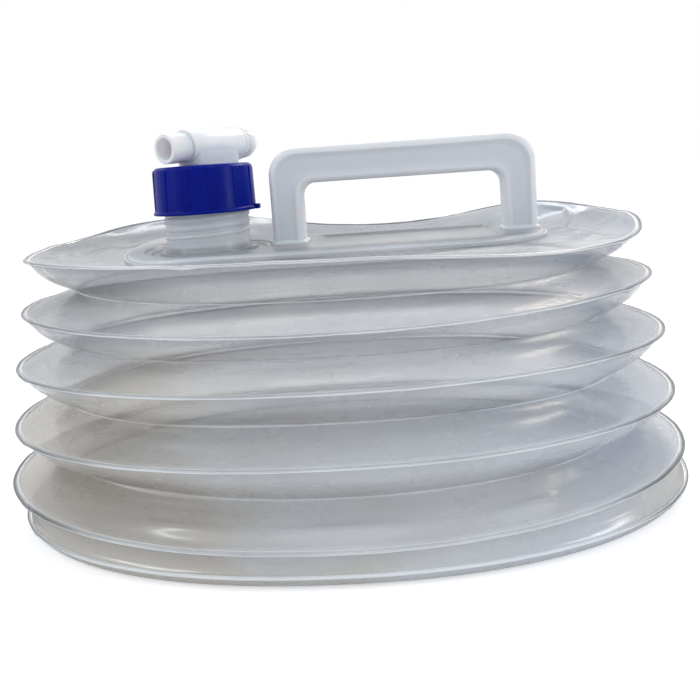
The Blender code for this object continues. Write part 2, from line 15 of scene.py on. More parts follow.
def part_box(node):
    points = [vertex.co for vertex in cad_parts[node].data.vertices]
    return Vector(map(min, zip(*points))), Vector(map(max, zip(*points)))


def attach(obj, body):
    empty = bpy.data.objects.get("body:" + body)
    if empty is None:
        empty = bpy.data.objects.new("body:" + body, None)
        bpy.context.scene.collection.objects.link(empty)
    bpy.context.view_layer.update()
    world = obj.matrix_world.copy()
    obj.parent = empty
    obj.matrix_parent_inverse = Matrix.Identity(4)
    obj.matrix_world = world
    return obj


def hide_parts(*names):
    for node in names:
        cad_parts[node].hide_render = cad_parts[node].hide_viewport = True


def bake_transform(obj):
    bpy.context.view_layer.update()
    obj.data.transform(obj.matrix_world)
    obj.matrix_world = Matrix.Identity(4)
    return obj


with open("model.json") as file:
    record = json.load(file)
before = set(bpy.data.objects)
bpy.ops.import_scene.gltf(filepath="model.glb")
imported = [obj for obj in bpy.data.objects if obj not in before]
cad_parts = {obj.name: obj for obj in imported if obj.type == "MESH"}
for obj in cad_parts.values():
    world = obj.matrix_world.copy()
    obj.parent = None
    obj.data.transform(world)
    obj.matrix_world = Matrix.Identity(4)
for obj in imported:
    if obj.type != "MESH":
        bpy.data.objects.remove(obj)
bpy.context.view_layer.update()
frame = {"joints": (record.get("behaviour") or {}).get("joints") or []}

MM = 0.001
TAU = 2.0 * math.pi
QUARTER = TAU / 4
SHARP_ANGLE = math.radians(34.0)
MERGE_DISTANCE = 0.002 * MM

# The oval that every film edge follows
OVAL_POWER = 2.17
BEAD_RADIUS = 1.3 * MM
BEAD_RISE = BEAD_RADIUS * math.sin(TAU / 5)
TUCK = 1.2 * MM
TOP_SWAY = 4.2 * MM
TOP_HUMP = 10.0 * MM
# Where the top lip stands above or below that: angle, width of the place and rise
TOP_DETAIL = (
    (3.07, 0.17, 4.2 * MM), (2.45, 0.35, 1.6 * MM), (1.94, 0.20, 4.6 * MM), (1.16, 0.26, -4.6 * MM),
    (0.03, 0.22, 3.6 * MM), (4.05, 0.25, -1.8 * MM), (4.88, 0.22, 2.2 * MM),
)
AROUND = 480
ACROSS = 48

# Film and its folds
CRESTS = 5
FILM = 0.4 * MM
CREASE_INSET = 24.0 * MM
PLEAT_ANGLES = (0.13, 2.99, 3.70, 5.70)
PLEAT_WIDTH = 0.03
PLEAT_DEPTH = 1.6 * MM
# Soft swells of the lowest fold just above its lip: their place round the oval and their width
SWELLS = ((4.33, 0.11), (4.74, 0.12), (5.2, 0.07))
SWELL_MARK = 0.12
SWELL_WIDTH = 0.05
SWELL_HEIGHT = 3.6 * MM
# Slow buckles of the wall and the folds, bottom to top, and the fine wrinkles over them. The pace is how
# often their noise repeats round the oval and across the sheet.
BUCKLES = (1.6 * MM, 5.0 * MM, 3.2 * MM, 2.8 * MM, 2.6 * MM)
BUCKLE_PACE = (1.6, 0.7)
WRINKLE = 0.6 * MM
WRINKLE_PACE = (5.5, 2.4)
FILM_SEED_STEP = 3.7
# How both edges hold a sheet: the lower, the more of its middle moves
HOLD_POWER = 0.7
FOLD_BODIES = ("base", "crest_2", "crest_3", "crest_4", "top")
# Sections from the low lip to the high one: the way across the sheet, then the share there of the inset
# and of the height
FOLD_SECTION = (
    (0, 0, 0), (0.2, 0.5, 0.17), (0.38, 0.93, 0.255), (0.45, 1.0, 0.3), (0.52, 0.93, 0.35),
    (0.66, 0.66, 0.47), (0.8, 0.36, 0.62), (0.92, 0.12, 0.81), (1, 0, 1),
)
WALL_SECTION = ((0, 0, 0), (0.25, 0.75, 0.25), (0.5, 1.0, 0.5), (0.75, 0.75, 0.75), (1, 0, 1))
WAIST_INSET = 2.4 * MM

# The mark that a material reads across a fold: 0 at the low lip, the crease here and 1 at the high lip.
# Sheets without a crease stay below the second number, and pleats have their full depth from the third.
CREASE_MARK = 0.45
SMOOTH_MARK = 0.3
PLEAT_MARK = 0.7

# Welded lips
LIP_HALF_WIDTH = 1.6 * MM
BASE_LIP_HALF_WIDTH = 0.8 * MM
LIP_HALF_THICKNESS = 0.42 * MM
LIP_RIDGE = 0.42 * MM
LIP_SECTION = 20
LIP_OUT = 0.15 * MM
LIP_WAVE = 0.9 * MM
BASE_LIP_WAVE = 0.5 * MM
LIP_PACE = 7.0
LIP_FLATNESS = 0.7
LIP_SEED_STEP = 5.1
# Bead and ridge across a lip, from 1 at its rim to -1 at its root: place, width and share of the height
LIP_RIDGES = ((0.72, 0.34, 1.0), (-0.74, 0.2, 0.9))
# Nicks of every lip at the pleats, shifted a little from lip to lip, and three more in the top lip
KINK_WIDTH = 0.014
KINK_GROWTH = 0.5
KINK_DRIFT = 0.02
DENT_WIDTH = 0.03
TOP_KINKS = (1.86, 1.12, 4.4)

# Base pan, fuller than its weld below it; the base is drawn in at its left end. Its rings widen from a
# small oval in the middle.
LEFT_PULL = 7.5 * MM
LEFT_PULL_WIDTH = 0.7
PAN_CORNER = 5.0 * MM
PAN_BULGE = 0.7 * MM
PAN_THICKNESS = 0.8 * MM
PAN_STEPS = 8
PAN_CENTER = (1.0 * MM, 0.6 * MM)
PAN_RING_SHARES = (0.0, 0.3, 0.6, 0.85)

# Top film
TOP_FLAT_HALF_LENGTH = 130.0 * MM
TOP_FLAT_HALF_DEPTH = 54.5 * MM
TOP_SLOPE_SHARE = 0.62
TOP_SLOPE_POWER = 1.5
TOP_ACROSS = 84
# Its waves: height, seed and length. They fade out over a share of its width towards the lip, and over a
# distance towards the pad.
TOP_WAVES = ((0.9 * MM, 11, 50.0 * MM), (0.12 * MM, 5, 18.0 * MM))
TOP_HOLD = 0.12
PAD_HOLD = (0.5 * MM, 14.0 * MM)
WAVE_SPREAD = (0.75, 1.6)

# Neck and its thread
NECK_SIDES = 128
NECK_RADIUS = 22.6 * MM
NECK_WALL = 3.0 * MM
NECK_UNDERCUT = 0.5 * MM
NECK_FLARE = 1.0 * MM
NECK_FLARE_HEIGHT = 5.0 * MM
NECK_FLARE_POWER = 2.2
NECK_FLARE_STEPS = 9
NECK_START = 0.1 * MM
NECK_OUTER_BEVEL = 0.6 * MM
NECK_INNER_BEVEL = 0.4 * MM
THREAD_PITCH = 4.4 * MM
THREAD_START = 0.4 * MM
THREAD_TURNS = 7.6
THREAD_RADIUS = 21.75 * MM
THREAD_STAND = 1.1 * MM
THREAD_HALF_WIDTH = 1.8 * MM
THREAD_STEPS = 72
THREAD_SECTION = 13
THREAD_RISING = (-0.1, 0.45)
THREAD_ENDING = (0.0, 0.05)

# Pad
PAD_THICKNESS = 3.0 * MM
PAD_STEP_WIDTH = 2.4 * MM
PAD_EDGE_RADIUS = 0.35 * MM
PAD_BORE_RADIUS = 21.4 * MM
# Its rim from the underside up: inset and height in millimetres
PAD_RIM = ((0, 0.05), (0, 1.4), (2.2, 1.4), (2.5, 1.75), (2.7, 3.0))
# The ring-shaped recess and its terrace: radius, and height above the pad's top, in millimetres
RING_RECESS = (
    (26.0, 2.0), (26.0, -1.6), (30.2, -1.6), (30.6, -0.8), (33.6, -0.8), (34.2, 0.0), (34.2, 2.0),
)
CUT_OVER = 2.0 * MM
POCKET_DEPTH = 1.6 * MM
POCKET_DRAFT = 1.6 * MM
POCKET_END = 21.0 * MM
POCKET_SIDE = 14.5 * MM
POCKET_CORNER = 5.0 * MM
# The slots, and how far before the handle each of them starts
SLOT_DEPTH = 0.9 * MM
SLOT_WIDTH = 1.5 * MM
SLOT_HALF_LENGTH = 13.0 * MM
SLOT_CORNER = 0.7 * MM
SLOT_PLACES = (4.6 * MM, 1.9 * MM)
# The curl of its free end, and the cuts that let it bend
TWIST_START = 26.0 * MM
TWIST_MIDDLE = 2.6 * MM
TWIST_LEAN = 4.4 * MM
TWIST_SPREAD = 1.3
TWIST_LIMIT = 1.2
SLICE_START = 2.0 * MM
SLICE_STEPS = (3.0 * MM, 4.0 * MM)

# Bent creases in the top film: their line in the plan in millimetres, their height and their width
TOP_CREASES = (
    (((120, -46), (131, -30), (133, -12), (127, 6)), 0.8 * MM, 2.2 * MM),
    (((126, 8), (136, 26), (137, 44), (124, 58)), 0.7 * MM, 2.0 * MM),
    (((-92, -60), (-70, -72), (-40, -76)), 0.6 * MM, 3.0 * MM),
    (((-128, 20), (-140, 2), (-138, -22)), 0.6 * MM, 3.0 * MM),
)

# Handle
HANDLE_BAR = 19.0 * MM
HANDLE_LEG = 17.0 * MM
HANDLE_DEPTH = 16.0 * MM
HANDLE_OUTER_RADIUS = 14.5 * MM
HANDLE_INNER_RADIUS = 7.0 * MM
HANDLE_EDGE_RADIUS = 3.2 * MM
HANDLE_DISH = 0.5 * MM
FOOT_STEP = 0.9 * MM
HANDLE_SINK = 0.4 * MM
DISH_SHARE = 0.8
LEG_STEPS = 16
BEND_STEPS = 14
BAR_STEPS = 12
FOOT_OVER = 0.4 * MM
FOOT_CORNER = 3.2 * MM
# The feet: inset and height above the pad in millimetres
FOOT_LAYERS = ((0, -0.4), (0, 0.7), (0.25, 1.2), (0.8, 1.7), (1.4, 2.0))

# Cap nut, in millimetres: radius and height above its bottom, then radius and height from its top
CAP_LOWER_OUTLINE = ((23.2, 0.0), (27.5, 0.0), (27.5, 1.3), (26.5, 2.1))
CAP_UPPER_OUTLINE = ((26.0, -1.5), (24.5, 0.0), (10.5, 0.0), (10.5, -2.4), (23.2, -2.4))
CAP_EDGE_RADIUS = 0.4 * MM
CAP_SIDES = 160
# One grip rib: how far its front stands out, and height above the cap's bottom, in millimetres. It stands
# on a face that leans in by its draft on the way up.
RIB_LAYERS = ((-0.2, 1.9), (0.55, 2.1), (0.5, 12.0), (0.45, 21.9), (0.2, 23.2), (-0.6, 23.9))
RIB_FACE_RADIUS = 26.25 * MM
RIB_DRAFT = 0.25 / 24.0
RIB_BACK_RADIUS = 25.2 * MM
RIB_HALF_ANGLE = math.radians(4.6)
RIB_TURN = math.radians(22.8)
RIB_COUNT = 12.0
RIB_STEPS = 9
RIB_EDGE_RADIUS = 0.25 * MM
TAB_START = 26.6 * MM
TAB_HALF_WIDTH = 3.2 * MM
TAB_CORNER = 1.2 * MM
# The tab: inset and height above the cap's bottom in millimetres
TAB_LAYERS = ((0.3, 0.0), (0, 0.3), (0, 2.2), (0.4, 2.6))

# Tap outlines: radius and place along the spout's axis, in millimetres, the end cap's side up
BARREL_OUTLINE = (
    (9.0, -12.0), (9.4, -11.5), (9.4, 24.9), (9.1, 25.2), (9.1, 25.8), (9.4, 26.1), (9.2, 26.7),
)
SPOUT_OUTLINE = (
    (4.8, 5.2), (4.8, -12.0), (5.5, -12.4), (5.55, -24.6), (5.8, -25.0), (7.3, -25.0), (7.6, -24.6),
    (7.75, -13.4), (7.85, -12.9), (7.85, -12.3), (7.1, -12.3), (7.1, -9.2), (6.0, -9.2), (6.0, -7.8),
    (7.1, -7.8), (7.1, 7.8), (6.0, 7.8), (6.0, 9.2), (7.1, 9.2), (7.1, 26.7), (4.5, 26.7), (4.5, 32.4),
)
END_OUTLINE = (
    (4.8, 32.7), (4.8, 27.0), (8.6, 27.0), (8.8, 27.3), (8.8, 28.3), (8.0, 28.5), (8.0, 29.2),
    (8.7, 29.4), (8.7, 30.3), (8.1, 30.5), (8.1, 31.0),
)
BARREL_BORE_RADIUS = 7.4 * MM
BARREL_BORE_REACH = (-14.0 * MM, 29.0 * MM)
DISC_RADIUS = 22.6 * MM
DISC_THICKNESS = 3.0 * MM
# The stem from the disc up: its radius, and how far below the spout's axis that is
STEM_FOOT_RADIUS = 8.6 * MM
STEM_OUTLINE = ((8.2 * MM, 8.0 * MM), (9.2 * MM, 3.0 * MM))
STEM_SIDES = 72
HOLE_SIDES = 48
PASSAGE_RADIUS = 3.5 * MM
PORT_RADIUS = 3.2 * MM
PORT_REACH = 9.0 * MM
SADDLE_LEFT = 11.0 * MM
SADDLE_RIGHT = 21.0 * MM
SADDLE_HALF_WIDTH = 9.0 * MM
SADDLE_GAP = 0.25 * MM
SADDLE_DROP = 1.0 * MM
END_RADIUS = 8.5 * MM
END_SHOULDER = 31.2 * MM
END_DOME = 7.4 * MM
DOME_POWER = 0.8
DOME_SHARE = 0.97
DOME_STEPS = 16
BODY_EDGE_RADIUS = 0.4 * MM
SPOUT_EDGE_RADIUS = 0.2 * MM
END_EDGE_RADIUS = 0.15 * MM

# Camera, fitted to the edges, the neck and the handle
CAMERA_PLACE = (0.0296, -0.3724, 0.1698)
CAMERA_YAW = math.radians(2.87)
CAMERA_PITCH = math.radians(5.2)
CAMERA_ROLL = math.radians(4.04)
CAMERA_LENS = 36.0
CAMERA_SENSOR = 36.0
CAMERA_NEAR = 10.0 * MM
CAMERA_SHIFT = -120.0 / 700.0


class Value:
    """One output socket of a node. Python's operators on it add the Math nodes."""

    def __init__(self, shop, socket):
        self.shop = shop
        self.socket = socket

    def math(self, operation, *others):
        sockets = dict(enumerate((self, *others)))
        return self.shop.node("ShaderNodeMath", {"operation": operation}, sockets)

    def __add__(self, other):
        return self.math("ADD", other)

    def __sub__(self, other):
        return self.math("SUBTRACT", other)

    def __rsub__(self, other):
        return self.math("MULTIPLY", -1.0).math("ADD", other)

    def __mul__(self, other):
        return self.math("MULTIPLY", other)

    def __truediv__(self, other):
        return self.math("DIVIDE", other)

    def __pow__(self, other):
        return self.math("POWER", other)

    __radd__ = __add__
    __rmul__ = __mul__

    def smooth(self, start, end):
        """0 before start, 1 after end, eased between them."""
        sockets = {"Value": self, "From Min": start, "From Max": end}
        return self.shop.node("ShaderNodeMapRange", {"interpolation_type": "SMOOTHSTEP"}, sockets)


class Shop:
    """Adds nodes to one tree."""

    def __init__(self, tree):
        self.tree = tree

    def node(self, kind, settings=None, sockets=None, out=0):
        """A node of that kind: its settings first, then the values or links of its sockets."""
        made = self.tree.nodes.new(kind)
        for name, value in (settings or {}).items():
            if name == "points":
                self.fill_curve(made.mapping, value)
            else:
                setattr(made, name, value)
        for key, value in (sockets or {}).items():
            if isinstance(key, str):
                self.fill(next(s for s in made.inputs if s.name == key and s.enabled), value)
            else:
                self.fill(made.inputs[key], value)
        return Value(self, made.outputs[out])

    def fill(self, socket, value):
        """Links a node value to a socket, or writes a plain value on it."""
        if isinstance(value, Value):
            self.tree.links.new(value.socket, socket)
        else:
            socket.default_value = value

    @staticmethod
    def fill_curve(mapping, points):
        curve = mapping.curves[0]
        while len(curve.points) < len(points):
            curve.points.new(0.5, 0.5)
        for point, place in zip(curve.points, points):
            point.location = place
        mapping.update()

    def curve(self, value, points):
        return self.node("ShaderNodeFloatCurve", {"points": points}, {"Value": value})

    def vector(self, x, y, z):
        return self.node("ShaderNodeCombineXYZ", {}, {0: x, 1: y, 2: z})

    def split(self, vector):
        made = self.node("ShaderNodeSeparateXYZ", {}, {0: vector})
        return [Value(self, socket) for socket in made.socket.node.outputs]

    def noise(self, place, scale, detail=3.0, roughness=0.5):
        """Noise between about -0.5 and 0.5 at a place; three scales stretch it."""
        if isinstance(scale, tuple):
            place = self.node("ShaderNodeVectorMath", {"operation": "MULTIPLY"}, {0: place, 1: scale})
            scale = 1.0
        sockets = {"Vector": place, "Scale": scale, "Detail": detail, "Roughness": roughness}
        return self.node("ShaderNodeTexNoise", {}, sockets) - 0.5

    def mix_color(self, share, first, second):
        """A colour between two, each a node value or plain red, green and blue."""
        low, high = (color if isinstance(color, Value) else (*color, 1.0) for color in (first, second))
        return self.node("ShaderNodeMix", {"data_type": "RGBA"}, {0: share, 6: low, 7: high}, out=2)


def sine(x):
    return x.math("SINE") if isinstance(x, Value) else np.sin(x)


def cosine(x):
    return x.math("COSINE") if isinstance(x, Value) else np.cos(x)


def signed_power(x, power):
    if isinstance(x, Value):
        return x.math("SIGN") * x.math("ABSOLUTE") ** power
    return np.sign(x) * np.abs(x) ** power


def above(x, limit):
    return x.math("GREATER_THAN", limit) if isinstance(x, Value) else np.where(x > limit, 1.0, 0.0)


def exponential(x):
    return x.math("EXPONENT") if isinstance(x, Value) else np.exp(x)


def bump_at(value, place, width):
    """A smooth hump of height 1 where value is near place."""
    away = (value - place) * (1 / width)
    return exponential(away * away * -1.0)


def bump_round(angle, place, width):
    """A smooth hump of height 1 at a place round the oval."""
    return exponential((cosine(angle - place) - 1.0) * (1 / width**2))


def strongest(values):
    """The largest of some node values, so that places named twice count once."""
    values = list(values)
    for value in values[1:]:
        values[0] = values[0].math("MAXIMUM", value)
    return values[0]


def smooth(x, start, end):
    t = np.clip((x - start) / (end - start), 0.0, 1.0)
    return t * t * (3.0 - 2.0 * t)


@dataclass
class Edge:
    """An oval edge line of the film. Its sizes are numbers or node values."""

    length: object
    depth: object
    height: object
    lift: object = 0.0
    ripple: object = 0.0
    pull: object = 0.0

    def sizes(self):
        return self.length, self.depth, self.height, self.lift, self.ripple, self.pull

    def moved(self, inset=0.0, rise=0.0):
        length, depth, height, *others = self.sizes()
        return Edge(length - inset, depth - inset, height + rise, *others)

    def toward(self, other, share):
        pairs = zip(self.sizes(), other.sizes())
        return Edge(*((there - here) * share + here for here, there in pairs))

    def at(self, angle):
        """x, y and z at an angle: ends lifted, near side swaying and far side humped as the edge says."""
        along = signed_power(cosine(angle), 2 / OVAL_POWER)
        across = signed_power(sine(angle), 2 / OVAL_POWER)
        wave = sine(angle * 2.0)
        far = above(sine(angle), 0.0)
        stand = far * wave * wave * TOP_HUMP + (1 - far) * wave * TOP_SWAY
        for place, width, rise in TOP_DETAIL:
            stand = bump_round(angle, place, width) * rise + stand
        height = along * along * self.lift + stand * self.ripple + self.height
        drawn_in = bump_round(angle, math.pi, LEFT_PULL_WIDTH) * self.pull
        return self.length * along + drawn_in, self.depth * across, height


def crest(level):
    """The crest line of a fold from its bead in the frame, 1 at the bottom; 0 is the base edge."""
    low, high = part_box(f"crest_weld_{level}" if level else "base_weld")
    ripple = 1.0 if level == CRESTS else 0.0
    height = low.z + BEAD_RISE + ripple * TOP_SWAY
    lift = 0.0 if ripple else high.z - low.z - 2 * BEAD_RISE
    pull = 0.0 if level else LEFT_PULL
    return Edge(high.x - BEAD_RADIUS, high.y - BEAD_RADIUS, height, lift, ripple, pull)


# Objects


def link(name, data, finish=None):
    """A new object in the scene, with its material if it has none yet."""
    made = bpy.data.objects.new(name, data)
    bpy.context.scene.collection.objects.link(made)
    if finish and not data.materials:
        data.materials.append(finish)
    return made


def settled(draft, name):
    """The plain mesh object that a draft and its modifiers make; the draft goes."""
    bpy.context.view_layer.update()
    graph = bpy.context.evaluated_depsgraph_get()
    mesh = bpy.data.meshes.new_from_object(draft.evaluated_get(graph))
    bpy.data.objects.remove(draft)
    mesh.name = name
    mesh.shade_smooth()
    mesh.set_sharp_from_angle(angle=SHARP_ANGLE)
    return link(name, mesh)


def skin(name, rings, finish, capped=True):
    """A mesh through rings of points, each closed on itself; the ring of rings is capped or closed."""
    rings = np.asarray(rings, float)
    count, around, _ = rings.shape
    index = np.arange(count * around).reshape(count, around)
    here = index if not capped else index[:-1]
    above_it = np.roll(index, -1, axis=0) if not capped else index[1:]
    quads = np.stack([here, np.roll(here, -1, 1), np.roll(above_it, -1, 1), above_it], -1).reshape(-1, 4)
    faces = quads.tolist()
    if capped:
        faces += [index[0].tolist(), index[-1].tolist()]
    bm = bmesh.new()
    mesh = bpy.data.meshes.new(name)
    mesh.from_pydata(rings.reshape(-1, 3).tolist(), [], faces)
    bm.from_mesh(mesh)
    bmesh.ops.remove_doubles(bm, verts=bm.verts, dist=MERGE_DISTANCE)
    bmesh.ops.recalc_face_normals(bm, faces=bm.faces)
    bm.to_mesh(mesh)
    bm.free()
    mesh.shade_smooth()
    mesh.set_sharp_from_angle(angle=SHARP_ANGLE)
    return link(name, mesh, finish)


def softened(draft, width, segments=3):
    """Rounds the sharp edges of a draft and returns the finished object."""
    name = draft.name
    rounding = draft.modifiers.new("rounding", "BEVEL")
    rounding.width = width
    rounding.segments = segments
    rounding.limit_method = "ANGLE"
    rounding.angle_limit = SHARP_ANGLE
    rounding.use_clamp_overlap = True
    draft.name = name + "_draft"
    return settled(draft, name)


def circle(radius, height, sides, center=(0.0, 0.0)):
    turn = np.arange(sides) * TAU / sides
    x = center[0] + radius * np.cos(turn)
    y = center[1] + radius * np.sin(turn)
    return np.stack([x, y, np.full(sides, height)], -1)


def turned(name, profile, finish, sides=96, center=(0.0, 0.0), capped=False, place=None):
    """A piece revolved from (radius, height) pairs about a vertical line, then moved to its place."""
    made = skin(name, [circle(r, h, sides, center) for r, h in profile], finish, capped)
    if place is not None:
        made.data.transform(place)
    return made


def in_mm(outline, base=0.0):
    """An outline given in millimetres: its first numbers, and its heights above the base, in metres."""
    return [(first * MM, base + height * MM) for first, height in outline]


def hand_over(piece, body, slot, *nodes):
    """Gives a finished piece its body and hides the construction nodes that it stands for; its record slot
    is not used.
    """
    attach(piece, body)
    if nodes:
        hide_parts(*nodes)
    return piece


# Geometry node trees


def geometry_tree(name, inputs):
    """A new tree with a named number for each size. Returns its shop and the sizes as values."""
    tree = bpy.data.node_groups.new(name, "GeometryNodeTree")
    for label, default in inputs.items():
        socket = tree.interface.new_socket(name=label, in_out="INPUT", socket_type="NodeSocketFloat")
        socket.default_value = default
    tree.interface.new_socket(name="Finish", in_out="INPUT", socket_type="NodeSocketMaterial")
    tree.interface.new_socket(name="Geometry", in_out="OUTPUT", socket_type="NodeSocketGeometry")
    shop = Shop(tree)
    source = tree.nodes.new("NodeGroupInput")
    return shop, {s.name: Value(shop, s) for s in source.outputs if s.name}


def end_tree(shop, geometry, finish):
    solid = shop.node("GeometryNodeRealizeInstances", {}, {0: geometry})
    painted = shop.node("GeometryNodeSetMaterial", {}, {"Geometry": solid, "Material": finish})
    out = shop.tree.nodes.new("NodeGroupOutput")
    shop.tree.links.new(painted.socket, out.inputs[0])
    return shop.tree


def grown(name, tree, sizes, finish, wall=0.0):
    """Runs a tree with these sizes and returns the plain object that it makes, with a wall if asked."""
    draft = link(name + "_draft", bpy.data.meshes.new(name + "_draft"))
    recipe = draft.modifiers.new("recipe", "NODES")
    recipe.node_group = tree
    for socket in tree.interface.items_tree:
        if socket.in_out == "INPUT" and socket.name in sizes:
            recipe[socket.identifier] = sizes[socket.name]
        elif socket.name == "Finish":
            recipe[socket.identifier] = finish
    if wall:
        thick = draft.modifiers.new("wall", "SOLIDIFY")
        thick.thickness = wall
        thick.offset = 0.0
        thick.use_even_offset = False
    return settled(draft, name)


def ring_grid(shop, around, across, spread=1.0):
    """A grid whose columns run round the oval; stores how far round and how far across each point is."""
    sockets = {"Size X": 1.0, "Size Y": 1.0, "Vertices X": around + 1, "Vertices Y": across}
    grid = shop.node("GeometryNodeMeshGrid", {}, sockets)
    x, y, _ = shop.split(shop.node("GeometryNodeInputPosition"))
    settings = {"data_type": "FLOAT", "domain": "POINT"}
    for label, value in (("around", x + 0.5), ("across", y + 0.5), ("mark", (y + 0.5) * spread)):
        sockets = {"Geometry": grid, "Name": label, "Value": value}
        grid = shop.node("GeometryNodeStoreNamedAttribute", settings, sockets)
    return grid


def stored(shop, label):
    return shop.node("GeometryNodeInputNamedAttribute", {"data_type": "FLOAT"}, {"Name": label})


def laid_out(shop, grid, place):
    """The grid with its points at their place and its seams merged."""
    moved = shop.node("GeometryNodeSetPosition", {}, {"Geometry": grid, "Position": place})
    return shop.node("GeometryNodeMergeByDistance", {}, {"Geometry": moved, "Distance": MERGE_DISTANCE})


EDGE_SIZES = ("Half Length", "Half Depth", "Height", "Lift", "Ripple", "Pull")
BLANK_EDGE = Edge(100.0 * MM, 100.0 * MM, 0.0)


def edge_inputs(label, edge):
    return {f"{label} {name}": size for name, size in zip(EDGE_SIZES, edge.sizes())}


def edge_values(values, label):
    return Edge(*(values[f"{label} {name}"] for name in EDGE_SIZES))


def sheet_tree(name, section, spread):
    """Film from a low edge to a high edge, drawn in along the way, with buckles, wrinkles and pleats."""
    shop, size = geometry_tree(name, {
        **edge_inputs("Low", BLANK_EDGE), **edge_inputs("High", BLANK_EDGE),
        "Inset": 0.0, "Buckle": 0.0, "Wrinkle": 0.0, "Pleat": 0.0, "Swell": 0.0, "Seed": 0.0,
    })
    grid = ring_grid(shop, AROUND, ACROSS, spread)
    across = stored(shop, "across")
    angle = stored(shop, "around") * TAU
    rise = shop.curve(across, [(way, height) for way, _, height in section])
    inset = shop.curve(across, [(way, drawn_in) for way, drawn_in, _ in section]) * size["Inset"]
    edge = edge_values(size, "Low").toward(edge_values(size, "High"), rise).moved(inset=inset)
    placed = laid_out(shop, grid, shop.vector(*edge.at(angle)))

    def ring_noise(pace, detail):
        around, over = pace
        place = shop.vector(cosine(angle) * around, sine(angle) * around, across * over + size["Seed"])
        return shop.noise(place, 1.0, detail)

    held = (across * (1 - across) * 4.0) ** HOLD_POWER
    slow = ring_noise(BUCKLE_PACE, 1.0) * size["Buckle"]
    fine = ring_noise(WRINKLE_PACE, 3.0) * size["Wrinkle"]
    pleats = sum(bump_round(angle, place, PLEAT_WIDTH) for place in PLEAT_ANGLES) * size["Pleat"]
    upper = across.smooth(CREASE_MARK, PLEAT_MARK)
    swells = sum(bump_round(angle, *place) for place in SWELLS) * size["Swell"]
    swells = swells * bump_at(across, SWELL_MARK, SWELL_WIDTH)
    push = held * (slow + fine + swells - pleats * upper)
    normal = shop.node("GeometryNodeInputNormal")
    offset = shop.node("ShaderNodeVectorMath", {"operation": "SCALE"}, {0: normal, "Scale": push})
    moved = shop.node("GeometryNodeSetPosition", {}, {"Geometry": placed, "Offset": offset})
    return end_tree(shop, moved, size["Finish"])


def lip_tree():
    """A sealed film edge: a flat web between an outer bead and an inner ridge, nicked at the pleats."""
    places = (*PLEAT_ANGLES, *(PLEAT_ANGLES[0] for _ in TOP_KINKS))
    kinks = {f"Kink {number + 1}": place for number, place in enumerate(places)}
    shop, size = geometry_tree("lip", {
        **edge_inputs("Line", BLANK_EDGE), **kinks,
        "Half Width": LIP_HALF_WIDTH, "Half Thickness": LIP_HALF_THICKNESS, "Ridge": LIP_RIDGE,
        "Out": LIP_OUT, "Waviness": 0.0, "Seed": 0.0,
    })
    grid = ring_grid(shop, AROUND, LIP_SECTION + 1)
    section = stored(shop, "across") * TAU
    angle = stored(shop, "around") * TAU
    out, up = cosine(section), sine(section)
    ridges = sum(bump_at(out, place, width) * share for place, width, share in LIP_RIDGES)
    kink = strongest(bump_round(angle, size[label], KINK_WIDTH) for label in kinks)
    dent = strongest(bump_round(angle, size[label], DENT_WIDTH) for label in kinks)
    thick = (size["Half Thickness"] + ridges * size["Ridge"]) * (kink * KINK_GROWTH + 1.0)
    ring = shop.vector(cosine(angle) * LIP_PACE, sine(angle) * LIP_PACE, size["Seed"])
    drift = shop.noise(ring, 1.0, 2.0) * size["Waviness"]
    reach = out * size["Half Width"] + size["Out"] + drift * 0.5
    rise = signed_power(up, LIP_FLATNESS) * thick + drift - dent * size["Half Thickness"]
    edge = edge_values(size, "Line").moved(inset=reach * -1.0, rise=rise)
    return end_tree(shop, laid_out(shop, grid, shop.vector(*edge.at(angle))), size["Finish"])


def thread_tree():
    """A rounded thread that winds up the neck and fades at both ends."""
    shop, size = geometry_tree("neck_thread", {
        "Radius": THREAD_RADIUS, "Pitch": THREAD_PITCH, "Turns": THREAD_TURNS, "Stand": THREAD_STAND,
        "Half Width": THREAD_HALF_WIDTH, "Center X": 0.0, "Base Height": 0.0,
    })
    grid = ring_grid(shop, round(THREAD_TURNS * THREAD_STEPS), THREAD_SECTION)
    along = stored(shop, "around")
    section = stored(shop, "across") * TAU
    grow = along.smooth(*THREAD_RISING) * (1 - along).smooth(*THREAD_ENDING)
    angle = along * size["Turns"] * TAU
    radius = size["Radius"] + cosine(section) * size["Stand"] * grow
    height = size["Base Height"] + along * size["Turns"] * size["Pitch"]
    height = height + sine(section) * size["Half Width"] * grow
    place = shop.vector(cosine(angle) * radius + size["Center X"], sine(angle) * radius, height)
    return end_tree(shop, laid_out(shop, grid, place), size["Finish"])


def rib_tree(rib):
    """Copies of one grip rib set round the cap."""
    shop, size = geometry_tree("cap_ribs", {
        "Count": RIB_COUNT, "Radius": RIB_BACK_RADIUS, "Turn": 0.0, "Center X": 0.0, "Height": 0.0,
    })
    points = shop.node("GeometryNodeMeshCircle", {}, {"Vertices": size["Count"], "Radius": size["Radius"]})
    shape = shop.node("GeometryNodeObjectInfo", {}, {"Object": rib}, out="Geometry")
    turn = shop.node("GeometryNodeInputIndex") * TAU / size["Count"]
    sockets = {"Points": points, "Instance": shape, "Rotation": shop.vector(0.0, 0.0, turn)}
    ribs = shop.node("GeometryNodeInstanceOnPoints", {}, sockets)
    sockets = {"Geometry": ribs, "Rotation": shop.vector(0.0, 0.0, size["Turn"]),
               "Translation": shop.vector(size["Center X"], 0.0, size["Height"])}
    return end_tree(shop, shop.node("GeometryNodeTransform", {}, sockets), size["Finish"])


# Film pieces


def edge_points(edge, angles):
    return np.stack(np.broadcast_arrays(*edge.at(angles)), -1)


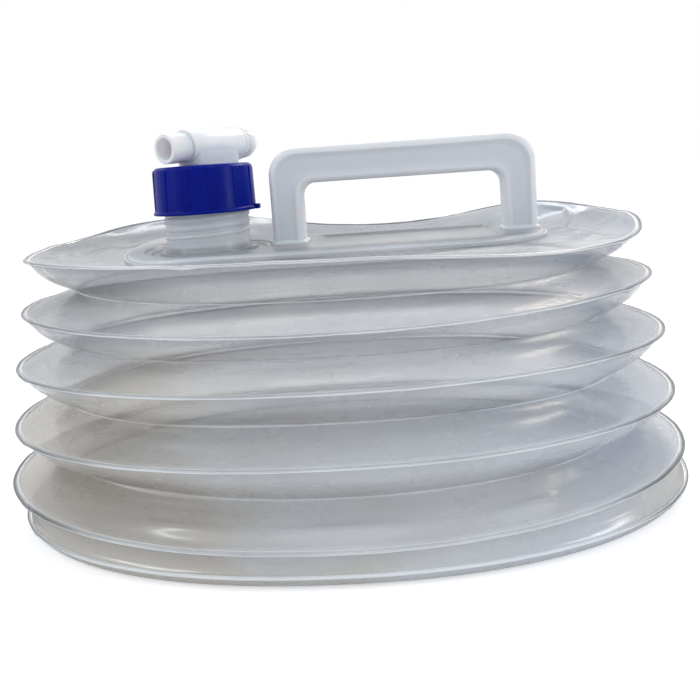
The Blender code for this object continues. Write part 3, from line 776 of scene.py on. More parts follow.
def make_base_pan(film):
    """The stiff bottom with its rounded corner, closed inside and out."""
    edge = crest(0).moved(inset=TUCK)
    angles = np.arange(AROUND) * TAU / AROUND
    center = Edge(*PAN_CENTER, 0.0)
    outer, inner = [], []
    for share in PAN_RING_SHARES:
        ring = center.toward(edge.moved(inset=PAN_CORNER), share)
        for rings, rise in ((outer, 0.0), (inner, PAN_THICKNESS)):
            ring.height = rise
            rings.append(edge_points(ring, angles))
    for step in range(PAN_STEPS + 1):
        turn = QUARTER * (1 - step / PAN_STEPS)
        inset = PAN_CORNER * (1 - math.cos(turn)) - PAN_BULGE * math.sin(2 * turn)
        low = edge.moved(inset=inset)
        low.height *= 1 - math.sin(turn)
        high = low.moved(inset=PAN_THICKNESS * math.cos(turn), rise=PAN_THICKNESS * math.sin(turn))
        outer.append(edge_points(low, angles))
        inner.append(edge_points(high, angles))
    pan = skin("base_pan", outer + inner[::-1], film)
    hand_over(pan, "base", "clear_film", "base_panel")


def make_wall_and_folds(film):
    wall_tree = sheet_tree("wall_sheet", WALL_SECTION, SMOOTH_MARK)
    fold_tree = sheet_tree("fold_sheet", FOLD_SECTION, 1.0)
    for number in range(CRESTS):
        low, high = (crest(level).moved(inset=TUCK) for level in (number, number + 1))
        sizes = {
            **edge_inputs("Low", low), **edge_inputs("High", high),
            "Inset": CREASE_INSET if number else WAIST_INSET,
            "Buckle": BUCKLES[number], "Wrinkle": WRINKLE,
            "Pleat": PLEAT_DEPTH if number else 0.0, "Swell": SWELL_HEIGHT if number == 1 else 0.0,
            "Seed": FILM_SEED_STEP * number,
        }
        if not number:
            wall = grown("base_wall_film", wall_tree, sizes, film, FILM)
            hand_over(wall, "base", "clear_film", "base_wall")
            continue
        fold = grown(f"fold_{number}_film", fold_tree, sizes, film, FILM)
        start = low.height + low.lift
        end = high.height - TOP_SWAY * high.ripple
        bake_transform(fold)
        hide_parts(f"fold_{number}_lower_film", f"fold_{number}_upper_film")


def make_lips(weld):
    tree = lip_tree()
    for level, body in enumerate(("base", *FOLD_BODIES)):
        kinks = {f"Kink {k + 1}": place + KINK_DRIFT * math.sin(3 * k + 2 * level)
                 for k, place in enumerate(PLEAT_ANGLES)}
        if level == CRESTS:
            kinks.update({f"Kink {len(PLEAT_ANGLES) + k + 1}": place for k, place in enumerate(TOP_KINKS)})
        lip = grown(f"edge_lip_{level}", tree, {
            **edge_inputs("Line", crest(level)), **kinks,
            "Half Width": LIP_HALF_WIDTH if level else BASE_LIP_HALF_WIDTH,
            "Half Thickness": LIP_HALF_THICKNESS, "Ridge": LIP_RIDGE, "Out": LIP_OUT,
            "Waviness": LIP_WAVE if level else BASE_LIP_WAVE, "Seed": LIP_SEED_STEP * level,
        }, weld)
        hand_over(lip, body, "film_weld", f"crest_weld_{level}" if level else "base_weld")


@dataclass
class Layout:
    """Places on the top that the moulded pieces share, read from the frame."""

    neck_x: float
    pad_radius: float
    pad_right: float
    pad_base: float
    pad_top: float
    neck_top: float


def read_layout():
    low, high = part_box("mouth_moulding")
    gasket_low, gasket_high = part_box("gasket")
    return Layout(
        neck_x=(gasket_low.x + gasket_high.x) / 2,
        pad_radius=high.y,
        pad_right=high.x - high.y,
        pad_base=low.z,
        pad_top=low.z + PAD_THICKNESS,
        neck_top=high.z,
    )


def pad_distance(layout, x, y):
    """Distance from the outline of the pad, below zero inside it."""
    along = np.clip(x, layout.neck_x, layout.pad_right)
    return np.hypot(x - along, y) - layout.pad_radius


def end_twist(layout, x, y):
    """How far the pad's free end beyond the neck curls up, most at its far corner."""
    reach = np.hypot(x - layout.neck_x, y)
    facing = np.clip(TWIST_SPREAD * (layout.neck_x - x) / np.maximum(reach, MM), 0.0, 1.0)
    curl = smooth(reach, TWIST_START, layout.pad_radius) * smooth(facing, 0.0, 1.0)
    lean = np.clip(y / layout.pad_radius, -TWIST_LIMIT, TWIST_LIMIT)
    return curl * (TWIST_MIDDLE + TWIST_LEAN * lean)


def ripples(x, y, seed, length, count=9):
    """Smooth random waves of about that length, between about -1 and 1."""
    random = np.random.default_rng(seed)
    total = 0.0
    for _ in range(count):
        turn, phase = random.uniform(0, TAU, 2)
        pace = TAU / (length * random.uniform(*WAVE_SPREAD))
        total = total + np.sin(pace * (x * math.cos(turn) + y * math.sin(turn)) + phase)
    return total / math.sqrt(count)


def line_distance(x, y, line):
    """Distance of points from a bent line in the plan."""
    best = np.full(np.shape(x), np.inf)
    for (ax, ay), (bx, by) in zip(line, line[1:]):
        run = np.array([bx - ax, by - ay])
        share = np.clip(((x - ax) * run[0] + (y - ay) * run[1]) / (run @ run), 0.0, 1.0)
        best = np.minimum(best, np.hypot(x - ax - share * run[0], y - ay - share * run[1]))
    return best


def level_ring(outline, height):
    """The points of a flat outline at one height."""
    return np.column_stack([outline, np.full(len(outline), height)])


def make_top_film(film, layout):
    """The film over the top, from the highest lip down to the flat that the pad lies on."""
    angles = np.arange(AROUND) * TAU / AROUND
    rim = crest(CRESTS).moved(inset=TUCK)
    rim_height = rim.at(angles)[2]
    flat_height = layout.pad_base - FILM
    flat = Edge(TOP_FLAT_HALF_LENGTH, TOP_FLAT_HALF_DEPTH, flat_height)
    slope_steps = round(TOP_ACROSS * TOP_SLOPE_SHARE)
    rings = []
    for share in np.arange(slope_steps + 1) / slope_steps:
        ring = edge_points(rim.toward(flat, share), angles)
        ring[:, 2] = flat_height + (rim_height - flat_height) * (1 - share) ** TOP_SLOPE_POWER
        rings.append(ring)
    outer = rings[-1][:, :2]
    neck = np.array([layout.neck_x, 0.0])
    away = outer - neck
    hole = NECK_RADIUS - NECK_WALL / 2
    inner = away / np.linalg.norm(away, axis=1, keepdims=True) * hole + neck
    flat_steps = TOP_ACROSS - slope_steps
    for share in np.arange(1, flat_steps + 1) / flat_steps:
        rings.append(level_ring(outer + (inner - outer) * share, flat_height))
    sheet = np.stack(rings)
    x, y = sheet[..., 0], sheet[..., 1]
    across = np.linspace(0.0, 1.0, len(rings))[:, None]
    held = smooth(across, 0.0, TOP_HOLD) * smooth(pad_distance(layout, x, y), *PAD_HOLD)
    waves = sum(height * ripples(x, y, seed, length) for height, seed, length in TOP_WAVES)
    for line, height, width in TOP_CREASES:
        waves = waves + height * np.exp(-(line_distance(x, y, np.array(line) * MM) / width) ** 2)
    sheet[..., 2] += waves * held + end_twist(layout, x, y) * smooth(across, 0.0, TOP_SLOPE_SHARE)
    upper, lower = sheet.copy(), sheet.copy()
    upper[..., 2] += FILM / 2
    lower[..., 2] -= FILM / 2
    made = skin("top_sheet", np.concatenate([upper, lower[::-1]]), film, capped=False)
    shares = np.tile(across, (1, AROUND)) * SMOOTH_MARK
    mark(made, np.concatenate([shares, shares[::-1]]))
    hand_over(made, "top", "clear_film", "top_film")


def mark(made, values):
    """Stores a number for each point, which a material reads."""
    attribute = made.data.attributes.new("mark", "FLOAT", "POINT")
    attribute.data.foreach_set("value", np.asarray(values, np.float32).reshape(-1))


# Moulded pieces


def stadium(layout, radius, height, steps=40):
    """The outline of the pad: two half circles and the straight runs between them."""
    near = np.linspace(-QUARTER, QUARTER, steps)
    right = np.stack([layout.pad_right + radius * np.cos(near), radius * np.sin(near)], -1)
    left = np.stack([layout.neck_x - radius * np.cos(near), -radius * np.sin(near)], -1)
    return level_ring(np.concatenate([right, left]), height)


def rounded_box(low, high, radius, height, steps=6):
    """A rectangle with rounded corners at a height."""
    corners = []
    for number, (sx, sy) in enumerate(((1, 1), (-1, 1), (-1, -1), (1, -1))):
        turn = np.linspace(0, QUARTER, steps) + number * QUARTER
        x = (high[0] if sx > 0 else low[0]) - radius * sx
        y = (high[1] if sy > 0 else low[1]) - radius * sy
        corners.append(np.stack([x + radius * np.cos(turn), y + radius * np.sin(turn)], -1))
    return level_ring(np.concatenate(corners), height)


def block(name, low, high, corner, layers, finish):
    """A block between two corners in the plan, drawn in by each layer's inset at its height."""
    rings = []
    for inset, height in layers:
        near, far = [place + inset for place in low], [place - inset for place in high]
        rings.append(rounded_box(near, far, corner, height))
    return skin(name, rings, finish)


def rod(name, radius, low, high, finish, **rest):
    """A plain cylinder between two heights."""
    return turned(name, [(radius, low), (radius, high)], finish, capped=True, **rest)


def combine(target, *tools):
    """Applies each (operation, tool) pair to the target with an exact Boolean. The tools go."""
    name = target.name
    target.name = name + "_draft"
    for operation, tool in tools:
        cut = target.modifiers.new(tool.name, "BOOLEAN")
        cut.operation = operation
        cut.solver = "EXACT"
        cut.object = tool
    made = settled(target, name)
    for _, tool in tools:
        bpy.data.objects.remove(tool)
    return made


def sliced(made, axis, places):
    """Cuts the faces of a piece at places along an axis, so that it can bend there."""
    bm = bmesh.new()
    bm.from_mesh(made.data)
    for place in places:
        at, along = Vector((0, 0, 0)), Vector((0, 0, 0))
        at[axis], along[axis] = place, 1.0
        parts = bm.verts[:] + bm.edges[:] + bm.faces[:]
        bmesh.ops.bisect_plane(bm, geom=parts, dist=MERGE_DISTANCE, plane_co=at, plane_no=along)
    bm.to_mesh(made.data)
    bm.free()


def make_pad(clear, layout):
    """The pad: stepped rim, ring-shaped recess with a terrace, pocket and slots, its free end curled."""
    radius, base, top = layout.pad_radius, layout.pad_base, layout.pad_top
    center = (layout.neck_x, 0.0)
    over = top + CUT_OVER
    rings = [stadium(layout, radius - inset, height) for inset, height in in_mm(PAD_RIM, base)]
    pad = skin("pad_plate", rings, clear)
    bore = rod("bore_tool", PAD_BORE_RADIUS, base - MM, over, clear, center=center)
    ring = turned("ring_tool", in_mm(RING_RECESS, top), clear, center=center)
    handle_low, handle_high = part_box("handle")
    half = radius - POCKET_SIDE
    layers = ((POCKET_DRAFT, top - POCKET_DEPTH), (0.0, top), (0.0, over))
    pocket = block("pocket_tool", (handle_low.x + POCKET_END, -half), (handle_high.x - POCKET_END, half),
                   POCKET_CORNER, layers, clear)
    slots = []
    for number, ahead in enumerate(SLOT_PLACES):
        left = handle_low.x - ahead
        slots.append(block(f"slot_tool_{number}", (left, -SLOT_HALF_LENGTH),
                           (left + SLOT_WIDTH, SLOT_HALF_LENGTH), SLOT_CORNER,
                           ((0.0, top - SLOT_DEPTH), (0.0, over)), clear))
    pad = combine(pad, *(("DIFFERENCE", tool) for tool in (bore, ring, pocket, *slots)))
    pad = softened(pad, PAD_EDGE_RADIUS)
    left_end = layout.neck_x - radius
    sliced(pad, 0, np.arange(left_end + SLICE_START, layout.neck_x, SLICE_STEPS[0]))
    sliced(pad, 1, np.arange(-radius + SLICE_START, radius, SLICE_STEPS[1]))
    points = np.array([v.co for v in pad.data.vertices])
    points[:, 2] += end_twist(layout, points[:, 0], points[:, 1])
    pad.data.vertices.foreach_set("co", points.astype(np.float32).reshape(-1))
    pad.data.update()
    hand_over(pad, "top", "milky_plastic", "mouth_moulding")


def make_neck(clear, layout):
    """The screw neck with its flared foot, and the thread that winds up it."""
    top = layout.neck_top
    start = layout.pad_base + NECK_START
    outer, inner = NECK_RADIUS - NECK_UNDERCUT, NECK_RADIUS - NECK_WALL
    flare = [(outer + NECK_FLARE * (1 - way) ** NECK_FLARE_POWER, layout.pad_top + NECK_FLARE_HEIGHT * way)
             for way in np.linspace(0, 1, NECK_FLARE_STEPS)]
    profile = [
        (inner, start), (outer + NECK_FLARE, start), *flare,
        (outer, top - NECK_OUTER_BEVEL), (outer - NECK_OUTER_BEVEL, top),
        (inner + NECK_INNER_BEVEL, top), (inner, top - NECK_INNER_BEVEL),
    ]
    neck = turned("screw_neck", profile, clear, NECK_SIDES, (layout.neck_x, 0.0))
    hand_over(neck, "top", "milky_plastic", "mouth_moulding")
    thread = grown("neck_thread", thread_tree(), {
        "Radius": THREAD_RADIUS, "Pitch": THREAD_PITCH, "Turns": THREAD_TURNS,
        "Stand": THREAD_STAND, "Half Width": THREAD_HALF_WIDTH, "Center X": layout.neck_x,
        "Base Height": layout.pad_top + THREAD_START,
    }, clear)
    hand_over(thread, "top", "milky_plastic", "mouth_moulding")


def handle_stations(left, right, foot, top):
    """Pairs of outer and inner points along the handle, from the foot of one leg to the other's."""
    under = top - HANDLE_BAR
    outer_radius, inner_radius = HANDLE_OUTER_RADIUS, HANDLE_INNER_RADIUS
    gap_left = left + HANDLE_LEG
    half = []
    for share in np.linspace(0, 1, LEG_STEPS):
        outer = (left, foot + (top - outer_radius - foot) * share)
        half.append((outer, (gap_left, foot + (under - inner_radius - foot) * share)))
    for turn in np.linspace(math.pi, QUARTER, BEND_STEPS)[1:]:
        c, s = math.cos(turn), math.sin(turn)
        outer = (left + outer_radius * (1 + c), top - outer_radius * (1 - s))
        half.append((outer, (gap_left + inner_radius * (1 + c), under - inner_radius * (1 - s))))
    middle = (left + right) / 2
    outer_start, inner_start = left + outer_radius, gap_left + inner_radius
    for share in np.linspace(0, 1, BAR_STEPS)[1:]:
        outer = (outer_start + (middle - outer_start) * share, top)
        half.append((outer, (inner_start + (middle - inner_start) * share, under)))
    other = [tuple((2 * middle - x, z) for x, z in pair) for pair in half[-2::-1]]
    return half + other


# Points of the bar's section: a rounded corner, a dished face, two corners, the other face, the last corner
CORNER_POINTS = 6
FACE_SHARES = (0.86, 0.72, 0.4, 0.0, -0.4, -0.72, -0.86)
# Corners of the section marked for painted light, standing in for light shining through the handle's thin
# edges
HANDLE_EDGE_GLOW = 2 * ([1.0] * CORNER_POINTS + [0.0] * len(FACE_SHARES) + [1.0] * CORNER_POINTS)


def bar_section(width, depth, radius, dish):
    """Rounded rectangle of the handle: places across its width and its depth, both faces dished."""
    points = []
    for number, (sx, sy) in enumerate(((1, 1), (-1, 1), (-1, -1), (1, -1))):
        start = number * QUARTER
        for turn in np.linspace(start, start + QUARTER, CORNER_POINTS):
            points.append((sx * (width / 2 - radius) + radius * math.cos(turn),
                           sy * (depth / 2 - radius) + radius * math.sin(turn)))
        if sx == sy:
            for share in FACE_SHARES:
                sunk = dish if abs(share) < DISH_SHARE else 0.0
                points.append((sx * (width / 2 - radius) * share, sy * (depth / 2 - sunk)))
    return points


def make_handle(milky, layout):
    """A rounded bar handle with dished faces, on two stepped feet."""
    low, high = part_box("handle")
    left, right = low.x + FOOT_STEP, high.x - FOOT_STEP
    rings = []
    for outer, inner in handle_stations(left, right, layout.pad_top - HANDLE_SINK, high.z):
        outer, inner = np.array(outer), np.array(inner)
        middle, run = (outer + inner) / 2, outer - inner
        width = float(np.linalg.norm(run))
        run = run / width
        rings.append([(middle[0] + run[0] * u, v, middle[1] + run[1] * u)
                      for u, v in bar_section(width, HANDLE_DEPTH, HANDLE_EDGE_RADIUS, HANDLE_DISH)])
    handle = skin("carry_handle", rings, milky)
    mark(handle, np.tile(HANDLE_EDGE_GLOW, len(rings)))
    hand_over(handle, "top", "milky_plastic", "handle")
    reach = HANDLE_LEG / 2 + FOOT_STEP + FOOT_OVER
    wide = HANDLE_DEPTH / 2 + FOOT_STEP + FOOT_OVER
    for number, middle in enumerate((left + HANDLE_LEG / 2, right - HANDLE_LEG / 2)):
        foot = block(f"handle_foot_{number + 1}", (middle - reach, -wide), (middle + reach, wide),
                     FOOT_CORNER, in_mm(FOOT_LAYERS, layout.pad_top), milky)
        hand_over(foot, "top", "milky_plastic", "handle")


def make_cap(blue, layout):
    """The cap nut: bevelled top, grip ribs set round it, flared rim and a pull tab."""
    low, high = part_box("cap_nut")
    profile = in_mm(CAP_LOWER_OUTLINE, low.z) + in_mm(CAP_UPPER_OUTLINE, high.z)
    cap = softened(turned("cap_body", profile, blue, CAP_SIDES, (layout.neck_x, 0.0)), CAP_EDGE_RADIUS)
    hand_over(cap, "cap", "blue_plastic", "cap_nut")

    turn = np.linspace(-RIB_HALF_ANGLE, RIB_HALF_ANGLE, RIB_STEPS)
    rings = []
    for stand, height in in_mm(RIB_LAYERS):
        radius = RIB_FACE_RADIUS - RIB_DRAFT * height + stand
        front = np.stack([radius * np.cos(turn), radius * np.sin(turn)], -1)
        back = front[::-1] * (RIB_BACK_RADIUS / radius)
        rings.append(level_ring(np.concatenate([front, back]) - np.array([RIB_BACK_RADIUS, 0.0]), height))
    rib = softened(skin("rib_shape", rings, blue), RIB_EDGE_RADIUS)
    ribs = grown("cap_ribs", rib_tree(rib), {
        "Count": RIB_COUNT, "Radius": RIB_BACK_RADIUS, "Turn": RIB_TURN,
        "Center X": layout.neck_x, "Height": low.z,
    }, blue)
    bpy.data.objects.remove(rib)
    hand_over(ribs, "cap", "blue_plastic", "cap_nut")

    rings = [rounded_box((layout.neck_x + TAB_START, -TAB_HALF_WIDTH + inset),
                         (high.x - inset, TAB_HALF_WIDTH - inset), TAB_CORNER, height)
             for inset, height in in_mm(TAB_LAYERS, low.z)]
    hand_over(skin("cap_tab", rings, blue), "cap", "blue_plastic", "cap_nut")


def barrel_place():
    """Lays a piece turned about Z onto the spout's axis, its Z towards the end cap."""
    joint = next(j for j in frame["joints"] if j["name"] == "spout_turn")
    turn = Vector(joint["axis"]).to_track_quat("Z", "Y").to_matrix().to_4x4()
    return Matrix.Translation(joint["pos_m"]) @ turn


def make_tap(white, layout):
    """The tap body, the turning spout with its plug, and the grooved end cap."""
    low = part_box("tap_body")[0].z
    center = (layout.neck_x, 0.0)
    place = barrel_place()
    axis = place.translation.z
    barrel = turned("tap_barrel", in_mm(BARREL_OUTLINE), white, capped=True, place=place)
    disc = rod("disc_tool", DISC_RADIUS, low, low + DISC_THICKNESS, white, center=center)
    profile = [(STEM_FOOT_RADIUS, low + MM), *((radius, axis - drop) for radius, drop in STEM_OUTLINE)]
    stem = turned("stem_tool", profile, white, STEM_SIDES, center, True)
    bore = rod("barrel_bore_tool", BARREL_BORE_RADIUS, *BARREL_BORE_REACH, white, place=place)
    layers = ((0.0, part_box("cap_nut")[1].z + SADDLE_GAP), (0.0, axis - SADDLE_DROP))
    saddle = block("saddle_tool", (-SADDLE_LEFT, -SADDLE_HALF_WIDTH), (SADDLE_RIGHT, SADDLE_HALF_WIDTH),
                   SADDLE_HALF_WIDTH / 2, layers, white)
    heading = place.to_3x3().col[2]
    spin = Matrix.Rotation(math.atan2(heading.y, heading.x), 4, "Z")
    saddle.data.transform(Matrix.Translation((layout.neck_x, 0.0, 0.0)) @ spin)
    passage = rod("passage_tool", PASSAGE_RADIUS, low - CUT_OVER, axis, white,
                  sides=HOLE_SIDES, center=center)
    added = [("UNION", tool) for tool in (disc, stem, saddle)]
    body = combine(barrel, *added, ("DIFFERENCE", bore), ("DIFFERENCE", passage))
    hand_over(softened(body, BODY_EDGE_RADIUS), "tap", "white_plastic", "tap_body")

    spout = turned("spout_tube", in_mm(SPOUT_OUTLINE), white, capped=True, place=place)
    upright = place @ Matrix.Rotation(QUARTER, 4, "Y")
    port = rod("port_tool", PORT_RADIUS, 0.0, PORT_REACH, white, sides=HOLE_SIDES, place=upright)
    spout = combine(spout, ("DIFFERENCE", port))
    hand_over(softened(spout, SPOUT_EDGE_RADIUS), "valve", "white_plastic", "spout")

    dome = [(END_RADIUS * math.cos(turn) ** DOME_POWER, END_SHOULDER + END_DOME * math.sin(turn))
            for turn in np.linspace(0.0, QUARTER * DOME_SHARE, DOME_STEPS)]
    cap = turned("spout_end", in_mm(END_OUTLINE) + dome, white, capped=True, place=place)
    hand_over(softened(cap, END_EDGE_RADIUS), "valve", "white_plastic", "spout_end_cap")


# Materials


# Bands of the film by their mark: crease whitening with a painted highlight, a painted shadow above it,
# painted light on the lower sheet of a fold, painted shade under a lip, and a band by the low lip. Lines
# have a place and a width, the others a start and an end.
CREASE_GLINT_LINE = (CREASE_MARK, 0.018)
CREASE_SHADOW_LINE = (CREASE_MARK + 0.045, 0.03)
FOLD_LIGHT_LINE = (0.33, 0.13)
UNDER_LIP_SHADE = (0.84, 0.99)
NEAR_LIP = (0.0, 0.04)
# Bands of the film along one axis of the object: painted shade on the far side, on the far top and at the
# ends, painted light low in the folds, a darker foot, bluer right and warmer left; the far top's height is
# taken from the pad's underside
FAR_SIDE_SHADE = (-10.0 * MM, 40.0 * MM)
FOOT = (4.0 * MM, 18.0 * MM)
FAR_TOP_SHADE_DROP = (12.0 * MM, 3.0 * MM)
FAR_TOP_SHADE_DEPTH = (35.0 * MM, 62.0 * MM)
FOLD_LIGHT_HEIGHT = (75.0 * MM, 120.0 * MM)
RIGHT = (30.0 * MM, 160.0 * MM)
LEFT = (-150.0 * MM, 60.0 * MM)
LOW_LIGHT_AND_WARMTH = (15.0 * MM, 120.0 * MM)
ENDS_SHADE = (85.0 * MM, 170.0 * MM)
# Bands of the lips, in the same way: painted shade at the ends, on the far side and on the far top, and a
# lighter foot
LIP_ENDS_SHADE = (85.0 * MM, 165.0 * MM)
LIP_FAR_SIDE_SHADE = (10.0 * MM, 50.0 * MM)
LIP_FAR_TOP_SHADE = (108.0 * MM, 120.0 * MM)
LIP_FOOT = (8.0 * MM, 12.0 * MM)
# Painted highlights along the pad's rim, measured inwards, and where its neck turns whiter above its top
PAD_HIGHLIGHT_LINES = (0.3 * MM, PAD_STEP_WIDTH)
PAD_HIGHLIGHT_WIDTH = 0.4 * MM
NECK_RISE = (1.0 * MM, 4.0 * MM)


class Finish(Shop):
    """One material: its nodes, its shader and its surface coordinates."""

    def __init__(self, name):
        self.material = bpy.data.materials.new(name)
        self.material.use_nodes = True
        super().__init__(self.material.node_tree)
        self.shader = self.tree.nodes["Principled BSDF"]
        self.place = self.node("ShaderNodeTexCoord", out="Object")

    def mark(self):
        return self.node("ShaderNodeAttribute", {"attribute_name": "mark"}, out="Fac")

    def grain(self, scale, detail=3.0, roughness=0.5):
        return self.noise(self.place, scale, detail, roughness)

    def bump(self, height, strength, distance):
        sockets = {"Height": height, "Strength": strength, "Distance": distance}
        return self.node("ShaderNodeBump", {}, sockets)

    def feed(self, **values):
        """Fills sockets of the shader, named with _ for each space, and returns the material."""
        for name, value in values.items():
            self.fill(self.shader.inputs[name.replace("_", " ")], value)
        return self.material


def ends_of(x, band):
    """0 in the middle of the long side and 1 towards both its ends."""
    return (x * x).smooth(band[0] ** 2, band[1] ** 2)


def film_material(layout):
    """Clear soft film: hazy, with crease whitening and a painted highlight along its creases, a painted
    shadow above them, painted shade under a lip, at the ends, on the far side and on the far top, painted
    light low in the folds, darker and warmer at the foot, bluer to the right and warm in patches.
    """
    shop = Finish("film")
    across = shop.mark()
    x, y, z = shop.split(shop.place)
    # Crease whitening with a painted highlight along each crease
    crease_white_glint = bump_at(across, *CREASE_GLINT_LINE)
    # Painted shadow just above each crease
    crease_shadow = bump_at(across, *CREASE_SHADOW_LINE)
    # Painted shade under each lip
    under_lip_shade = across.smooth(*UNDER_LIP_SHADE)
    near_lip = 1 - across.smooth(*NEAR_LIP)
    cloud = shop.grain(11.0)
    streak = shop.grain((26.0, 26.0, 170.0))
    # Painted shade on the far side
    far_side_shade = y.smooth(*FAR_SIDE_SHADE)
    foot = 1 - z.smooth(*FOOT)
    # Painted shade on the far top beyond the pad
    far_top_shade = z.smooth(*(layout.pad_base - drop for drop in FAR_TOP_SHADE_DROP)) * y.smooth(*FAR_TOP_SHADE_DEPTH)
    far_top_shade = far_top_shade * (1 - across.smooth(SMOOTH_MARK, CREASE_MARK))
    # Painted light on the upward sheet of the lower folds, which lies in the shade of the fold above
    fold_light = bump_at(across, *FOLD_LIGHT_LINE) * (1 - z.smooth(*FOLD_LIGHT_HEIGHT))
    # Painted shade towards both ends
    ends = ends_of(x, ENDS_SHADE)
    # Painted light low in the folds, where they lie in shade; at the left it also warms them
    low = 1 - z.smooth(*LOW_LIGHT_AND_WARMTH)
    tint = shop.grain((9.0, 9.0, 24.0), 2.0)
    warm = (tint * 0.8 + (low * 0.4 + foot * 0.25) * (1 - x.smooth(*LEFT))).smooth(0.04, 0.26)
    grey = crease_shadow * 0.3 + under_lip_shade * 0.25 + far_side_shade * 0.15 + ends * 0.35 + foot * 0.42 + far_top_shade * 0.9
    grey = grey - crease_white_glint * 0.6 - low * 0.64 - fold_light * 0.35 - cloud * 0.35 - streak * 0.12 + 0.23
    cool = shop.mix_color(grey.smooth(-0.4, 0.9), (0.84, 0.865, 0.90), (0.20, 0.225, 0.26))
    cool = shop.mix_color(x.smooth(*RIGHT) * 0.4, cool, (0.52, 0.60, 0.72))
    alpha = crease_white_glint * 0.5 + crease_shadow * 0.12 + under_lip_shade * 0.2 + near_lip * 0.15 + ends * 0.18
    alpha = alpha + far_side_shade * 0.14 + foot * 0.22 + far_top_shade * 0.5 + fold_light * 0.12
    dents = shop.grain(30.0) * 0.4 + shop.grain((70.0, 70.0, 420.0), 4.0) * 0.05
    return shop.feed(
        Base_Color=shop.mix_color(warm * 0.8, cool, (0.62, 0.57, 0.49)),
        Alpha=alpha + cloud * 0.16 + streak * 0.08 + 0.3,
        Roughness=shop.grain(30.0, 4.0, 0.6) * 0.3 + 0.28,
        Normal=shop.bump(dents, 0.5, 0.9 * MM),
        Coat_Weight=1 - far_top_shade * 0.9, Coat_Roughness=0.16, Specular_IOR_Level=0.9)


def weld_material():
    """Sealed edge: two films pressed together, with a painted highlight on its inner ridge and painted
    shade out to its cut rim, strongest at the ends and on the far side and darker on the far top.
    """
    shop = Finish("weld")
    out = cosine(shop.mark() * TAU)
    x, y, z = shop.split(shop.place)
    # Painted shade on the far side of the lips
    far_side_shade = y.smooth(*LIP_FAR_SIDE_SHADE)
    # Painted shade on the far top lip
    far_top_shade = far_side_shade * z.smooth(*LIP_FAR_TOP_SHADE)
    foot = 1 - z.smooth(*LIP_FOOT)
    # Painted shade out to the cut rim, strongest at the ends and on the far side
    rim = out.smooth(-0.6, 0.8) * (ends_of(x, LIP_ENDS_SHADE).math("MAXIMUM", far_side_shade) * 0.95 + 0.14)
    # Painted highlight along each lip's inner ridge, fainter on the far side
    ridge = bump_at(out, -0.78, 0.18) * (1 - far_side_shade * 0.8)
    cloud = shop.grain(22.0)
    grey = rim - ridge * 0.8 + far_side_shade * 0.35 + far_top_shade * 0.5 - cloud * 0.5 - foot * 0.3 + 0.3
    return shop.feed(
        Base_Color=shop.mix_color(grey.smooth(0.0, 1.1), (0.93, 0.95, 0.97), (0.13, 0.145, 0.165)),
        Alpha=rim * 0.35 + ridge * 0.45 + far_side_shade * 0.2 + far_top_shade * 0.25 + cloud * 0.2 + 0.5,
        Roughness=cloud * 0.2 + 0.24, Normal=shop.bump(shop.grain(240.0), 0.3, 0.3 * MM),
        Coat_Weight=0.35, Coat_Roughness=0.1)


def clear_moulding_material(layout):
    """The pad and the neck: clear moulded plastic with a milky haze, with painted highlights along the
    pad's stepped rim.
    """
    shop = Finish("clear_moulding")
    cloud = shop.grain(20.0)
    x, y, z = shop.split(shop.place)
    beside = x - x.math("MAXIMUM", layout.neck_x).math("MINIMUM", layout.pad_right)
    inside = layout.pad_radius - (beside * beside + y * y) ** 0.5
    # Painted highlights along the pad's stepped rim
    pad_highlight = strongest(bump_at(inside, line, PAD_HIGHLIGHT_WIDTH) for line in PAD_HIGHLIGHT_LINES)
    neck = z.smooth(*(layout.pad_top + rise for rise in NECK_RISE))
    light = (cloud + pad_highlight * (1 - neck) * 0.6 + neck * 0.75 + 0.2).smooth(0.0, 1.0)
    return shop.feed(
        Base_Color=shop.mix_color(light, (0.34, 0.36, 0.39), (0.72, 0.745, 0.78)),
        Alpha=cloud * 0.2 + pad_highlight * 0.25 + 0.6, Roughness=cloud * 0.2 + 0.34,
        Normal=shop.bump(shop.grain(90.0), 0.15, 0.4 * MM),
        Coat_Weight=0.2, Coat_Roughness=0.2)


def milky_material():
    """Milky moulded plastic of the handle, with painted light along its thin rounded edges, standing in for
    light shining through them.
    """
    shop = Finish("milky")
    cloud = shop.grain(18.0)
    # Painted light along the handle's thin rounded edges
    light = (cloud * 0.5 + shop.mark() * 0.5 + 0.15).smooth(0.0, 1.0)
    return shop.feed(
        Base_Color=shop.mix_color(light, (0.61, 0.64, 0.68), (0.80, 0.82, 0.845)),
        Alpha=cloud * 0.1 + 0.9, Roughness=cloud * 0.2 + 0.3,
        Normal=shop.bump(shop.grain(110.0), 0.12, 0.3 * MM),
        Subsurface_Weight=0.3, Subsurface_Scale=3.0 * MM)


def blue_material():
    """Deep blue moulded plastic with a satin gloss and faint vertical draw marks."""
    shop = Finish("blue")
    cloud = shop.grain(60.0)
    return shop.feed(
        Base_Color=shop.mix_color(cloud + 0.5, (0.0, 0.002, 0.15), (0.0, 0.012, 0.25)),
        Roughness=cloud * 0.2 + 0.3, Specular_IOR_Level=0.08,
        Normal=shop.bump(shop.grain((600.0, 600.0, 30.0), 2.0), 0.1, 0.2 * MM))


def white_material():
    """Translucent white moulded plastic with a semi gloss and a fine grain."""
    shop = Finish("white")
    cloud = shop.grain(50.0)
    return shop.feed(
        Base_Color=shop.mix_color(cloud + 0.5, (0.78, 0.81, 0.84), (0.91, 0.925, 0.94)),
        Alpha=cloud * 0.1 + 0.8, Roughness=cloud * 0.15 + 0.2,
        Normal=shop.bump(shop.grain(260.0), 0.12, 0.2 * MM),
        Subsurface_Weight=0.35, Subsurface_Scale=3.0 * MM)


